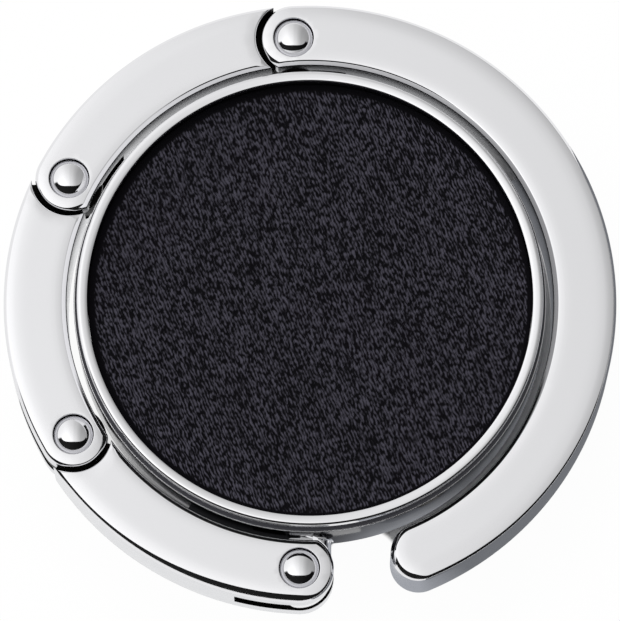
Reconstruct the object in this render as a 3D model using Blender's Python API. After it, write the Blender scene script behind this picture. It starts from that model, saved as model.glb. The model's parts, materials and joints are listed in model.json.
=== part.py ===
"""Folding table hook: a flat disc that stands on a table and a hinged ring that opens into a hook.

The origin is the centre of the rubber pad's underside. +Z points out of the leather side, and the
swivel stem leaves the disc towards -Y. Everything is in metres.
"""

from math import acos, atan2, cos, pi, radians, sin

import bmesh
import bpy
from mathutils import Matrix, Vector

MM = 0.001

# Facets and cutters
RING_STEP = radians(4.8)
ROUND_SEGMENTS = 24
DISC_SEGMENTS = 60
SMOOTH_ANGLE = radians(35)
MERGE = 0.0005 * MM
OVERRUN = 1.0 * MM

# Ring: four rigid links in one plane round the disc
DISC_RADIUS = 17.35 * MM
DISC_CLEARANCE = 0.53 * MM
BAND_WIDTH = 4.62 * MM
RING_THICKNESS = 5.4 * MM
RING_EDGE = 0.22 * MM
EDGE_SEGMENTS = 2

# Hinges: a tongue between two ears, on one rivet. Angles are seen from +Z, from +X
BASE_HINGE = radians(267.8)
LOWER_HINGE = radians(210.2)
UPPER_HINGE = radians(152.6)
HOOK_HINGE = radians(93.5)
EYE_OVERHANG = 0.19 * MM
EYE_CLEARANCE = 0.3 * MM
TONGUE_SETBACK = 0.1 * MM
TONGUE_THICKNESS = 1.7 * MM
TONGUE_CLEARANCE = 0.15 * MM
SLOT_DEPTH = 1.7 * MM

# Rivets: a low dome on a round step, a shank, and a low peened tail below
SHANK_RADIUS = 0.78 * MM
SHANK_CLEARANCE = 0.08 * MM
HEAD_FLANGE = 0.62 * MM
HEAD_HEIGHT = 1.25 * MM
HEAD_BAND = 0.46 * MM
DOME_SETBACK = 0.02 * MM
HEAD_CLEARANCE = 0.13 * MM
HEAD_RECESS = 0.9 * MM
TAIL_FLANGE = 0.42 * MM
TAIL_HEIGHT = 0.35 * MM
TAIL_RECESS = 0.5 * MM
RIVET_SEAT = 0.03 * MM
DOME_STEPS = 4

# Hook arm's free end
TIP_ANGLE = radians(-67)
TIP_TAPER = 0.42 * MM
TAPER_START = radians(0)

# Disc: a cast cup, closed by a tray whose rim frames the leather
BODY_FLOOR = 0.6 * MM
BODY_WALL = 1.75 * MM
BODY_FOOT_CHAMFER = 0.6 * MM
BODY_LIP_CHAMFER = 0.12 * MM
REBATE_WALL = 0.5 * MM
TRAY_CLEARANCE = 0.05 * MM
TRAY_FLOOR = 0.4 * MM
TRAY_WALL = 0.4 * MM
TRAY_DEPTH = 1.1 * MM
LEDGE_WIDTH = 0.25 * MM
RIM_HEIGHT = 1.15 * MM
RIM_ROUND = 0.3 * MM
RIM_STEPS = 3

# Leather inlay and its adhesive sheet, laid in the tray
FILM_THICKNESS = 0.2 * MM
FILM_SETBACK = 0.1 * MM
LAYER_GAP = 0.05 * MM
LEATHER_THICKNESS = 0.7 * MM
LEATHER_CLEARANCE = 0.1 * MM
LEATHER_EDGE = 0.15 * MM

# Rubber pad under the disc, and its adhesive sheet
PAD_MARGIN = 3.35 * MM
PAD_THICKNESS = 1.15 * MM
PAD_EDGE = 0.25 * MM
PAD_CLEARANCE = 0.1 * MM
PAD_SEAT_DEPTH = 0.55 * MM

# Swivel: a stem through the disc's wall and a boss inside it, held by two washers and its own head
STEM_RADIUS = 1.1 * MM
STEM_CLEARANCE = 0.07 * MM
NECK_STEP = 0.45 * MM
COLLAR_STEP = 0.2 * MM
COLLAR_WIDTH = 0.2 * MM
SHOULDER_GAP = 0.1 * MM
NECK_EYE_CLEARANCE = 0.22 * MM
BOSS_WALL = 1.5 * MM
BOSS_DEPTH = 1.4 * MM
BOSS_TOP_GAP = 0.1 * MM
WASHER_BAND = 0.3 * MM
WASHER_THICKNESS = 0.35 * MM
SPRING_THICKNESS = 0.15 * MM
SPRING_RISE = 0.15 * MM
STEM_HEAD_LENGTH = 0.45 * MM
STEM_HEAD_FLANGE = 0.25 * MM
ROOM_BELOW_STEM = 0.3 * MM
ROOM_ABOVE_STEM = 0.15 * MM

# Closing magnets: one in the disc's wall, one in the hook arm, on one radius
MAGNET_ANGLE = radians(-58)
MAGNET_RADIUS = 1.25 * MM
MAGNET_CLEARANCE = 0.06 * MM
TIP_MAGNET_LENGTH = 1.9 * MM
MAGNET_SKIN = 0.5 * MM

# Radii worked out from the ones above
RING_INNER_RADIUS = DISC_RADIUS + DISC_CLEARANCE
RING_OUTER_RADIUS = RING_INNER_RADIUS + BAND_WIDTH
EYE_RADIUS = BAND_WIDTH / 2 + EYE_OVERHANG
RIVET_CIRCLE = RING_OUTER_RADIUS - EYE_RADIUS
CUT_RADIUS = EYE_RADIUS + EYE_CLEARANCE
TONGUE_RADIUS = EYE_RADIUS - TONGUE_SETBACK
TIP_RADIUS = (BAND_WIDTH - TIP_TAPER) / 2
TIP_CIRCLE = RING_OUTER_RADIUS - TIP_RADIUS
HOLE_RADIUS = SHANK_RADIUS + SHANK_CLEARANCE
HEAD_RADIUS = SHANK_RADIUS + HEAD_FLANGE
TAIL_RADIUS = SHANK_RADIUS + TAIL_FLANGE
CAVITY_RADIUS = DISC_RADIUS - BODY_WALL
TRAY_RADIUS = DISC_RADIUS - REBATE_WALL - TRAY_CLEARANCE
OPENING_RADIUS = TRAY_RADIUS - TRAY_WALL
RIM_OUTER = DISC_RADIUS - LEDGE_WIDTH
LEATHER_RADIUS = OPENING_RADIUS - LEATHER_CLEARANCE
PAD_RADIUS = DISC_RADIUS - PAD_MARGIN
SHOULDER = DISC_RADIUS + SHOULDER_GAP
BOSS_FACE = CAVITY_RADIUS - BOSS_DEPTH
NECK_RADIUS = STEM_RADIUS + NECK_STEP
COLLAR_RADIUS = NECK_RADIUS + COLLAR_STEP
WASHER_RADIUS = STEM_RADIUS + WASHER_BAND
STEM_HEAD_RADIUS = STEM_RADIUS + STEM_HEAD_FLANGE

# Heights worked out from the ones above, from the table up
PAD_FILM_BOTTOM = PAD_THICKNESS + LAYER_GAP
PAD_ROOF = PAD_FILM_BOTTOM + FILM_THICKNESS + LAYER_GAP
BODY_LIFT = PAD_ROOF - PAD_SEAT_DEPTH
FLOOR_TOP = PAD_ROOF + BODY_FLOOR
RING_MIDDLE = FLOOR_TOP + ROOM_BELOW_STEM + STEM_HEAD_RADIUS
RING_LIFT = RING_MIDDLE - RING_THICKNESS / 2
RING_TOP = RING_LIFT + RING_THICKNESS
SLOT_HALF = TONGUE_THICKNESS / 2 + TONGUE_CLEARANCE
REBATE_STEP = RING_MIDDLE + STEM_HEAD_RADIUS + ROOM_ABOVE_STEM
TRAY_BOTTOM = REBATE_STEP + TRAY_CLEARANCE
TRAY_INSIDE = TRAY_BOTTOM + TRAY_FLOOR
BODY_TOP = REBATE_STEP + TRAY_DEPTH
RIM_TOP = BODY_TOP + TRAY_CLEARANCE + RIM_HEIGHT
FILM_BOTTOM = TRAY_INSIDE + LAYER_GAP
LEATHER_BOTTOM = FILM_BOTTOM + FILM_THICKNESS + LAYER_GAP

FINISHES = {
    "chrome": ((0.76, 0.76, 0.77, 1.0), 1.0, 0.08),
    "black_nickel": ((0.1, 0.1, 0.105, 1.0), 1.0, 0.15),
    "steel": ((0.55, 0.55, 0.54, 1.0), 1.0, 0.25),
    "nickel": ((0.62, 0.59, 0.53, 1.0), 1.0, 0.2),
    "leather": ((0.012, 0.012, 0.018, 1.0), 0.0, 0.5),
    "rubber": ((0.015, 0.015, 0.015, 1.0), 0.0, 0.8),
    "film": ((0.7, 0.65, 0.5, 1.0), 0.0, 0.5),
}


def clear_scene():
    for item in list(bpy.data.objects):
        bpy.data.objects.remove(item, do_unlink=True)


def material(name):
    """A Principled material named after the piece's finish."""
    found = bpy.data.materials.get(name)
    if found:
        return found
    colour, metallic, roughness = FINISHES[name]
    made = bpy.data.materials.new(name)
    made.use_nodes = True
    shader = made.node_tree.nodes["Principled BSDF"]
    shader.inputs["Base Color"].default_value = colour
    shader.inputs["Metallic"].default_value = metallic
    shader.inputs["Roughness"].default_value = roughness
    made.diffuse_color = colour
    return made


def polar(radius, angle, centre=(0.0, 0.0)):
    return (centre[0] + radius * cos(angle), centre[1] + radius * sin(angle))


def arc(centre, radius, start, end, step):
    """Points of an arc from start to end, both included."""
    count = max(2, round(abs(end - start) / step) + 1)
    return [polar(radius, start + (end - start) * i / (count - 1), centre) for i in range(count)]


def make_object(name, bm, finish):
    mesh = bpy.data.meshes.new(name)
    bmesh.ops.recalc_face_normals(bm, faces=bm.faces)
    bm.to_mesh(mesh)
    bm.free()
    mesh.shade_smooth()
    mesh.set_sharp_from_angle(angle=SMOOTH_ANGLE)
    mesh.materials.append(material(finish))
    made = bpy.data.objects.new(name, mesh)
    bpy.context.scene.collection.objects.link(made)
    return made


def prism(name, outline, bottom, top, finish, rounded=False):
    """An outline in XY, extruded from bottom to top. Rounded marks its rims for the edge bevel."""
    bm = bmesh.new()
    weight = bm.edges.layers.float.new("bevel_weight_edge")
    face = bm.faces.new([bm.verts.new((x, y, bottom)) for x, y in outline])
    raised = bmesh.ops.extrude_face_region(bm, geom=[face])["geom"]
    upper = [v for v in raised if isinstance(v, bmesh.types.BMVert)]
    bmesh.ops.translate(bm, vec=(0.0, 0.0, top - bottom), verts=upper)
    if rounded:
        for edge in bm.edges:
            edge[weight] = float(edge.verts[0].co.z == edge.verts[1].co.z)
    made = make_object(name, bm, finish)
    if rounded:
        bevel = made.modifiers.new("edge", "BEVEL")
        bevel.limit_method = "WEIGHT"
        bevel.width = RING_EDGE
        bevel.segments = EDGE_SEGMENTS
    return made


def turned(name, profile, finish, segments=ROUND_SEGMENTS, closed=False):
    """A profile of (radius, height) points, spun round Z."""
    bm = bmesh.new()
    verts = [bm.verts.new((radius, 0.0, height)) for radius, height in profile]
    pairs = list(zip(verts, verts[1:]))
    if closed:
        pairs.append((verts[-1], verts[0]))
    edges = [bm.edges.new(pair) for pair in pairs]
    bmesh.ops.spin(bm, geom=verts + edges, cent=(0.0, 0.0, 0.0), axis=(0.0, 0.0, 1.0),
                   angle=2 * pi, steps=segments, use_merge=True)
    bmesh.ops.remove_doubles(bm, verts=bm.verts, dist=MERGE)
    return make_object(name, bm, finish)


def drop_on(made, x, y, z=0.0):
    made.location = (x, y, z)
    return made


def as_cutter(made):
    made.hide_render = True
    made.display_type = "WIRE"
    return made


def cut(made, cutter, operation="DIFFERENCE"):
    modifier = made.modifiers.new(cutter.name, "BOOLEAN")
    modifier.operation = operation
    modifier.solver = "EXACT"
    modifier.object = as_cutter(cutter)


def axis_empty(name, place, parent=None):
    """An empty on a joint's axis. Its world place is kept on it for whatever hangs from it."""
    empty = bpy.data.objects.new(name, None)
    bpy.context.scene.collection.objects.link(empty)
    empty["place"] = place
    empty.location = place
    if parent:
        hang(empty, parent)
    return empty


def hang(made, empty):
    """Parent to an empty without moving in the world."""
    made.parent = empty
    made.matrix_parent_inverse = Matrix.Translation(-Vector(empty["place"]))


def hinge_point(angle):
    return polar(RIVET_CIRCLE, angle)


def crossing(ring_radius, reach):
    """Angle at the centre between a hinge and where a circle of that reach round it meets the ring."""
    return acos((RIVET_CIRCLE ** 2 + ring_radius ** 2 - reach ** 2) / (2 * RIVET_CIRCLE * ring_radius))


def heading(centre, point):
    return atan2(point[1] - centre[1], point[0] - centre[0])


def eye_end(hinge):
    """The round fork end: the ring's inner edge past the hinge, then round to the outer edge."""
    centre = hinge_point(hinge)
    meet = crossing(RING_INNER_RADIUS, EYE_RADIUS)
    start = heading(centre, polar(RING_INNER_RADIUS, hinge + meet))
    while start < hinge:
        start += 2 * pi
    round_step = 2 * pi / (ROUND_SEGMENTS + DOME_STEPS)
    inner = arc((0.0, 0.0), RING_INNER_RADIUS, hinge - meet, hinge + meet, RING_STEP / 2)
    return inner[:-1] + arc(centre, EYE_RADIUS, start, hinge, round_step)[:-1]


def tongue_end(hinge):
    """Two lips where the neighbour's eye fits, and between them the tongue's round end."""
    centre = hinge_point(hinge)
    outer_lip = polar(RING_OUTER_RADIUS, hinge + crossing(RING_OUTER_RADIUS, CUT_RADIUS))
    inner_lip = polar(RING_INNER_RADIUS, hinge + crossing(RING_INNER_RADIUS, CUT_RADIUS))
    start = heading(centre, outer_lip)
    end = heading(centre, inner_lip)
    while start < end:
        start += 2 * pi
    round_step = 2 * pi / ROUND_SEGMENTS
    return [outer_lip] + arc(centre, TONGUE_RADIUS, start, end, round_step) + [inner_lip]


def link_outline(fork, tongue):
    """Outer edge from the fork to the tongue, round its end, and back along the inner edge."""
    last_outer = tongue + crossing(RING_OUTER_RADIUS, CUT_RADIUS)
    first_inner = tongue + crossing(RING_INNER_RADIUS, CUT_RADIUS)
    last_inner = fork - crossing(RING_INNER_RADIUS, EYE_RADIUS)
    outline = arc((0.0, 0.0), RING_OUTER_RADIUS, fork, last_outer, RING_STEP)[:-1]
    outline += tongue_end(tongue)
    outline += arc((0.0, 0.0), RING_INNER_RADIUS, first_inner, last_inner, RING_STEP)[1:-1]
    return outline + eye_end(fork)


def inner_edge(angle):
    """The hook arm's inner radius, which grows smoothly from the taper's start to the tip."""
    share = min(1.0, max(0.0, (TAPER_START - angle) / (TAPER_START - TIP_ANGLE)))
    grown = share * share * (3 - 2 * share)
    return RING_INNER_RADIUS + (TIP_CIRCLE - TIP_RADIUS - RING_INNER_RADIUS) * grown


def hook_outline(fork):
    """Like a link's, but the far end is a plain round tip."""
    tip = polar(TIP_CIRCLE, TIP_ANGLE)
    last_inner = fork - crossing(RING_INNER_RADIUS, EYE_RADIUS)
    steps = round((last_inner - TIP_ANGLE) / RING_STEP)
    outline = arc((0.0, 0.0), RING_OUTER_RADIUS, fork, TIP_ANGLE, RING_STEP)[:-1]
    outline += arc(tip, TIP_RADIUS, TIP_ANGLE, TIP_ANGLE - pi, 2 * pi / ROUND_SEGMENTS)
    for i in range(1, steps):
        angle = TIP_ANGLE + (last_inner - TIP_ANGLE) * i / steps
        outline.append(polar(inner_edge(angle), angle))
    return outline + eye_end(fork)


def slot_cutter(name, hinge):
    """The gap between a fork's ears, open to both edges of the ring and past the eye."""
    back = hinge - (EYE_RADIUS + SLOT_DEPTH) / RIVET_CIRCLE
    front = hinge + 2 * EYE_RADIUS / RIVET_CIRCLE
    outline = arc((0.0, 0.0), RING_OUTER_RADIUS + OVERRUN, back, front, RING_STEP)
    outline += arc((0.0, 0.0), RING_INNER_RADIUS - OVERRUN, front, back, RING_STEP)
    return prism(name, outline, RING_MIDDLE - SLOT_HALF, RING_MIDDLE + SLOT_HALF, "steel")


def bore_cutter(name, hinge):
    """The rivet's hole through both ears, wider at the top for its head and below for its tail."""
    top = RING_TOP - HEAD_RECESS
    bottom = RING_LIFT + TAIL_RECESS
    head = HEAD_RADIUS + HEAD_CLEARANCE
    tail = TAIL_RADIUS + HEAD_CLEARANCE
    profile = [(0.0, RING_LIFT - OVERRUN), (tail, RING_LIFT - OVERRUN), (tail, bottom),
               (HOLE_RADIUS, bottom), (HOLE_RADIUS, top), (head, top),
               (head, RING_TOP + OVERRUN), (0.0, RING_TOP + OVERRUN)]
    return drop_on(turned(name, profile, "steel"), *hinge_point(hinge))


def ear_cutter(name, hinge):
    """Room for the neighbour's two ears above and below the tongue, and the tongue's own hole."""
    low = RING_MIDDLE - TONGUE_THICKNESS / 2
    high = RING_MIDDLE + TONGUE_THICKNESS / 2
    profile = [(0.0, RING_LIFT - OVERRUN), (CUT_RADIUS, RING_LIFT - OVERRUN), (CUT_RADIUS, low),
               (HOLE_RADIUS, low), (HOLE_RADIUS, high), (CUT_RADIUS, high),
               (CUT_RADIUS, RING_TOP + OVERRUN), (0.0, RING_TOP + OVERRUN)]
    segments = ROUND_SEGMENTS + 2 * DOME_STEPS
    return drop_on(turned(name, profile, "steel", segments), *hinge_point(hinge))


def fork_cuts(made, hinge, empty):
    for cutter in (slot_cutter(made.name + "_slot", hinge), bore_cutter(made.name + "_bore", hinge)):
        cut(made, cutter)
        hang(cutter, empty)


def make_link(name, fork, tongue, empty):
    made = prism(name, link_outline(fork, tongue), RING_LIFT, RING_TOP, "chrome", rounded=True)
    fork_cuts(made, fork, empty)
    ears = ear_cutter(name + "_ears", tongue)
    cut(made, ears)
    hang(ears, empty)
    hang(made, empty)


def radial_rod(name, radius, inner, outer, finish):
    """A rod along the magnets' radius at the ring's middle height, from inner to outer."""
    rod = turned(name, [(0.0, inner), (radius, inner), (radius, outer), (0.0, outer)], finish)
    turn = Matrix.Rotation(MAGNET_ANGLE, 4, "Z") @ Matrix.Rotation(pi / 2, 4, "Y")
    rod.matrix_world = Matrix.Translation((0.0, 0.0, RING_MIDDLE)) @ turn
    return rod


def make_hook_arm(empty):
    made = prism("hook_arm", hook_outline(HOOK_HINGE), RING_LIFT, RING_TOP, "chrome", rounded=True)
    fork_cuts(made, HOOK_HINGE, empty)
    face = inner_edge(MAGNET_ANGLE)
    seat = face + TIP_MAGNET_LENGTH + 2 * LAYER_GAP
    pocket = radial_rod("hook_arm_pocket", MAGNET_RADIUS + MAGNET_CLEARANCE, face - OVERRUN, seat, "steel")
    cut(made, pocket)
    magnet = radial_rod("tip_magnet", MAGNET_RADIUS, face + LAYER_GAP, seat - LAYER_GAP, "nickel")
    for piece in (made, pocket, magnet):
        hang(piece, empty)


def make_rivet(name, hinge, empty):
    """A domed head on a thin flange, the shank and the tail, in one turned piece."""
    seat = RING_TOP - HEAD_RECESS + RIVET_SEAT
    tail = RING_LIFT + TAIL_RECESS - RIVET_SEAT
    profile = [(0.0, tail - TAIL_HEIGHT), (TAIL_RADIUS / 2, tail - TAIL_HEIGHT),
               (TAIL_RADIUS, tail - TAIL_HEIGHT / 3), (TAIL_RADIUS, tail),
               (SHANK_RADIUS, tail), (SHANK_RADIUS, seat), (HEAD_RADIUS, seat),
               (HEAD_RADIUS, seat + HEAD_BAND)]
    dome = HEAD_HEIGHT - HEAD_BAND
    for i in range(DOME_STEPS + 1):
        angle = pi / 2 * i / DOME_STEPS
        radius = (HEAD_RADIUS - DOME_SETBACK) * cos(angle) if i < DOME_STEPS else 0.0
        profile.append((radius, seat + HEAD_BAND + dome * sin(angle)))
    hang(drop_on(turned(name, profile, "chrome"), *hinge_point(hinge)), empty)


def upright_to_stem(made):
    """Turn a piece spun round Z so that its axis lies along the stem, its top towards -Y."""
    made.matrix_world = Matrix.Translation((0.0, 0.0, RING_MIDDLE)) @ Matrix.Rotation(pi / 2, 4, "X")
    return made


def make_knuckle(empty):
    """Stem, neck and collar along Y, with a flat tongue that the first link's ears straddle."""
    washers = WASHER_THICKNESS + SPRING_THICKNESS + SPRING_RISE
    head = BOSS_FACE - washers - 3 * LAYER_GAP
    neck_end = RIVET_CIRCLE - EYE_RADIUS / 2
    collar_end = SHOULDER + COLLAR_WIDTH
    stem = [(0.0, head - STEM_HEAD_LENGTH), (STEM_RADIUS, head - STEM_HEAD_LENGTH),
            (STEM_HEAD_RADIUS, head - STEM_HEAD_LENGTH / 2), (STEM_HEAD_RADIUS, head),
            (STEM_RADIUS, head), (STEM_RADIUS, SHOULDER), (COLLAR_RADIUS, SHOULDER),
            (COLLAR_RADIUS, collar_end), (NECK_RADIUS, collar_end), (NECK_RADIUS, neck_end),
            (0.0, neck_end)]
    made = upright_to_stem(turned("swivel_knuckle", stem, "chrome"))
    low = RING_MIDDLE - TONGUE_THICKNESS / 2
    high = RING_MIDDLE + TONGUE_THICKNESS / 2
    clear = EYE_RADIUS + NECK_EYE_CLEARANCE
    for side, bottom, top in (("under", RING_LIFT - OVERRUN, low), ("over", high, RING_TOP + OVERRUN)):
        profile = [(0.0, bottom), (clear, bottom), (clear, top), (0.0, top)]
        segments = ROUND_SEGMENTS + 2 * DOME_STEPS
        room = drop_on(turned("knuckle_room_" + side, profile, "steel", segments), *hinge_point(BASE_HINGE))
        cut(made, room)
        hang(room, empty)
    centre = hinge_point(BASE_HINGE)
    half = NECK_RADIUS
    outline = [(half, -SHOULDER), (-half, -SHOULDER)]
    left = heading(centre, (-half, -SHOULDER - COLLAR_WIDTH))
    right = heading(centre, (half, -SHOULDER - COLLAR_WIDTH)) + 2 * pi
    outline += arc(centre, TONGUE_RADIUS, left, right, 2 * pi / ROUND_SEGMENTS)
    tongue = prism("knuckle_tongue", outline, low, high, "steel")
    hole = [(0.0, low - OVERRUN), (HOLE_RADIUS, low - OVERRUN),
            (HOLE_RADIUS, high + OVERRUN), (0.0, high + OVERRUN)]
    bore = drop_on(turned("knuckle_hole", hole, "steel"), *centre)
    cut(made, tongue, "UNION")
    cut(made, bore)
    for piece in (made, tongue, bore):
        hang(piece, empty)


def make_washers(empty):
    """A coned spring washer against the boss, then a flat one under the stem's head."""
    inner = STEM_RADIUS + STEM_CLEARANCE
    top = BOSS_FACE - LAYER_GAP
    cone = [(inner, top - SPRING_RISE), (inner, top - SPRING_RISE - SPRING_THICKNESS),
            (WASHER_RADIUS, top - SPRING_THICKNESS), (WASHER_RADIUS, top)]
    flat_top = top - SPRING_RISE - SPRING_THICKNESS - LAYER_GAP
    flat = [(inner, flat_top), (inner, flat_top - WASHER_THICKNESS),
            (WASHER_RADIUS, flat_top - WASHER_THICKNESS), (WASHER_RADIUS, flat_top)]
    for name, profile in (("spring_washer", cone), ("flat_washer", flat)):
        hang(upright_to_stem(turned(name, profile, "steel", closed=True)), empty)


def make_disc_body():
    """The cast cup, with a rebate for the tray above and a shallow seat for the pad below."""
    pad_seat = PAD_RADIUS + PAD_CLEARANCE
    rebate = DISC_RADIUS - REBATE_WALL
    profile = [(0.0, PAD_ROOF), (pad_seat, PAD_ROOF), (pad_seat, BODY_LIFT),
               (DISC_RADIUS - BODY_FOOT_CHAMFER, BODY_LIFT), (DISC_RADIUS, BODY_LIFT + BODY_FOOT_CHAMFER),
               (DISC_RADIUS, BODY_TOP - BODY_LIP_CHAMFER), (DISC_RADIUS - BODY_LIP_CHAMFER, BODY_TOP),
               (rebate, BODY_TOP), (rebate, REBATE_STEP), (CAVITY_RADIUS, REBATE_STEP),
               (CAVITY_RADIUS, FLOOR_TOP), (0.0, FLOOR_TOP)]
    made = turned("disc_body", profile, "black_nickel", DISC_SEGMENTS)
    wall_middle = CAVITY_RADIUS + BODY_WALL / 2
    half = STEM_RADIUS + BOSS_WALL
    outline = [(-half, -wall_middle), (half, -wall_middle), (half, -BOSS_FACE), (-half, -BOSS_FACE)]
    boss_top = REBATE_STEP - BOSS_TOP_GAP
    cut(made, prism("disc_body_boss", outline, FLOOR_TOP - BODY_FLOOR / 2, boss_top, "steel"), "UNION")
    hole = STEM_RADIUS + STEM_CLEARANCE
    bore = [(0.0, BOSS_FACE - OVERRUN), (hole, BOSS_FACE - OVERRUN),
            (hole, DISC_RADIUS + OVERRUN), (0.0, DISC_RADIUS + OVERRUN)]
    cut(made, upright_to_stem(turned("disc_body_bore", bore, "steel")))
    seat = DISC_RADIUS - MAGNET_SKIN
    pocket = MAGNET_RADIUS + MAGNET_CLEARANCE
    cut(made, radial_rod("disc_body_pocket", pocket, CAVITY_RADIUS - OVERRUN, seat, "steel"))
    radial_rod("rim_magnet", MAGNET_RADIUS, CAVITY_RADIUS + LAYER_GAP, seat - LAYER_GAP, "nickel")


def make_bezel_tray():
    """A pan that drops into the cup's rebate, with a rounded rim standing on the cup's edge."""
    flange = BODY_TOP + TRAY_CLEARANCE
    shoulder = RIM_TOP - RIM_ROUND
    profile = [(0.0, TRAY_BOTTOM), (TRAY_RADIUS, TRAY_BOTTOM), (TRAY_RADIUS, flange), (RIM_OUTER, flange)]
    centres = ((RIM_OUTER - RIM_ROUND, 0.0), (OPENING_RADIUS + RIM_ROUND, pi / 2))
    for centre, start in centres:
        profile += arc((centre, shoulder), RIM_ROUND, start, start + pi / 2, pi / 2 / RIM_STEPS)
    profile += [(OPENING_RADIUS, TRAY_INSIDE), (0.0, TRAY_INSIDE)]
    turned("bezel_tray", profile, "chrome", DISC_SEGMENTS)


def disc_sheet(name, radius, bottom, top, finish, upper_edge=0.0, lower_edge=0.0):
    """A flat round sheet, chamfered above or below where the real edge is rounded."""
    profile = [(0.0, bottom), (radius - lower_edge, bottom)]
    if lower_edge:
        profile.append((radius, bottom + lower_edge))
    if upper_edge:
        profile.append((radius, top - upper_edge))
    profile += [(radius - upper_edge, top), (0.0, top)]
    turned(name, profile, finish, DISC_SEGMENTS)


def make_disc():
    make_disc_body()
    make_bezel_tray()
    film = LEATHER_RADIUS - FILM_SETBACK
    disc_sheet("inlay_adhesive", film, FILM_BOTTOM, FILM_BOTTOM + FILM_THICKNESS, "film")
    top = LEATHER_BOTTOM + LEATHER_THICKNESS
    disc_sheet("leather_inlay", LEATHER_RADIUS, LEATHER_BOTTOM, top, "leather", upper_edge=LEATHER_EDGE)
    pad_film = PAD_RADIUS - FILM_SETBACK
    disc_sheet("pad_adhesive", pad_film, PAD_FILM_BOTTOM, PAD_FILM_BOTTOM + FILM_THICKNESS, "film")
    disc_sheet("rubber_pad", PAD_RADIUS, 0.0, PAD_THICKNESS, "rubber", lower_edge=PAD_EDGE)


def main():
    clear_scene()
    make_disc()
    swivel = axis_empty("disc_swivel_axis", (0.0, -SHOULDER, RING_MIDDLE))
    make_knuckle(swivel)
    make_washers(swivel)
    chain = (("first_link", "base", BASE_HINGE, LOWER_HINGE),
             ("second_link", "lower", LOWER_HINGE, UPPER_HINGE),
             ("third_link", "upper", UPPER_HINGE, HOOK_HINGE))
    parent = swivel
    for link, hinge, fork, tongue in chain:
        parent = axis_empty(hinge + "_hinge_axis", (*hinge_point(fork), RING_MIDDLE), parent)
        make_link(link, fork, tongue, parent)
        make_rivet(hinge + "_rivet", fork, parent)
    parent = axis_empty("hook_hinge_axis", (*hinge_point(HOOK_HINGE), RING_MIDDLE), parent)
    make_hook_arm(parent)
    make_rivet("hook_rivet", HOOK_HINGE, parent)


main()
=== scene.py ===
"""Looks for the folding table hook: a leather-faced disc inside a hinged chrome ring.

Everything is in metres, in the CAD's frame: the table is at z 0, the swivel stem points to -Y.
"""

import json
from math import acos, atan2, cos, hypot, pi, radians, sin, sqrt

import bmesh
import bpy
from mathutils import Matrix, Vector, noise
from mathutils.geometry import delaunay_2d_cdt


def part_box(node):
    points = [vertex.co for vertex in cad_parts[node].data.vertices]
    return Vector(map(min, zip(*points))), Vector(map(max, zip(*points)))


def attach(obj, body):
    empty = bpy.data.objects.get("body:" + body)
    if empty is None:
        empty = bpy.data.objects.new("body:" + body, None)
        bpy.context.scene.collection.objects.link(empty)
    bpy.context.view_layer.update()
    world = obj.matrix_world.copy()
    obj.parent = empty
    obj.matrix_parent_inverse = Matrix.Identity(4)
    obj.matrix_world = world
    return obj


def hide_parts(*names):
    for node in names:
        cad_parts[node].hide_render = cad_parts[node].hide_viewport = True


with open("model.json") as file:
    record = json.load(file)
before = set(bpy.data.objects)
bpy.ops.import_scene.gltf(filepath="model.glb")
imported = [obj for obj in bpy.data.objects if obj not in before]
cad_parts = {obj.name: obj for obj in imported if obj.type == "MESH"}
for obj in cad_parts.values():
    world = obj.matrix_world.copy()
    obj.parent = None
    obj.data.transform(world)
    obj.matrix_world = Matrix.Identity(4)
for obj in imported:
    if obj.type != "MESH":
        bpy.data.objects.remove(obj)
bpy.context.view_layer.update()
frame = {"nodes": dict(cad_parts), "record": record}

bl_info = {
    "name": "Table hook",
    "version": (1, 0, 0),
    "blender": (4, 5, 0),
    "location": "3D View > Sidebar > Table hook",
    "description": "Builds a folding table hook round its CAD model",
    "category": "Add Mesh",
}

MM = 0.001
MERGE = 0.0004 * MM
SMOOTH_ANGLE = radians(32)
GRAIN_ANGLE = radians(60)
OVERRUN = 1 * MM
CENTRE = (0.0, 0.0)

# How steep a chamfer is at its foot and at its top, and the steps of an edge's three turns
CHAMFER_LOW = radians(53)
CHAMFER_HIGH = radians(43)
EDGE_STEPS = (5, 5, 4)

# A ring piece reaches back less than this from its fork
REACH_BACK = 1.1 * pi

# Steps of the arcs that the meshes are made of
BODY_STEP = radians(1.5)
LEAST_BODY_STEPS = 12
EAR_STEPS = 10
INNER_EAR_STEPS = 16
EYE_STEPS = 36
HOLLOW_STEPS = 28
TIP_STEPS = 40
TONGUE_STEPS = 48
NECK_TONGUE_STEPS = 64
BORE_STEPS = 64
POCKET_STEPS = 48
RECESS_ROUND_STEPS = 5
RIVET_STEPS = 96
DOME_STEPS = 32
TAIL_STEPS = 8
CUP_STEPS = 192
FOOT_STEPS = 8
LIP_STEPS = 4
RIM_STEPS = 360
RIM_ROUND_STEPS = 9
CROWN_STEPS = 12
LEATHER_EDGE_STEPS = 4
PAD_STEPS = 160
PAD_EDGE_STEPS = 6
GROOVE_STEPS = 8

# A face is upright below the first share of its normal along Z, and level above the second
UPRIGHT = 0.3
LEVEL = 0.95

# Layers of the leather's grain: strength, waves across and along one ridge, and depth in the noise
GRAIN_SWAY = ((0.55, 0.6, 0.9, 3.1), (0.3, 1.6, 2.1, 9.2))
GRAIN_BREAKS = (1.0, 1.3, 2.2, 7.7)
GRAIN_FINE = (0.25, 3.1, 3.3, 1.3)
GRAIN_FLOOR = 0.12
RIDGE_SHARE = 0.7
BREAK_IN_RIDGES = 0.6
BREAK_IN_FLOOR = 0.45

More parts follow.
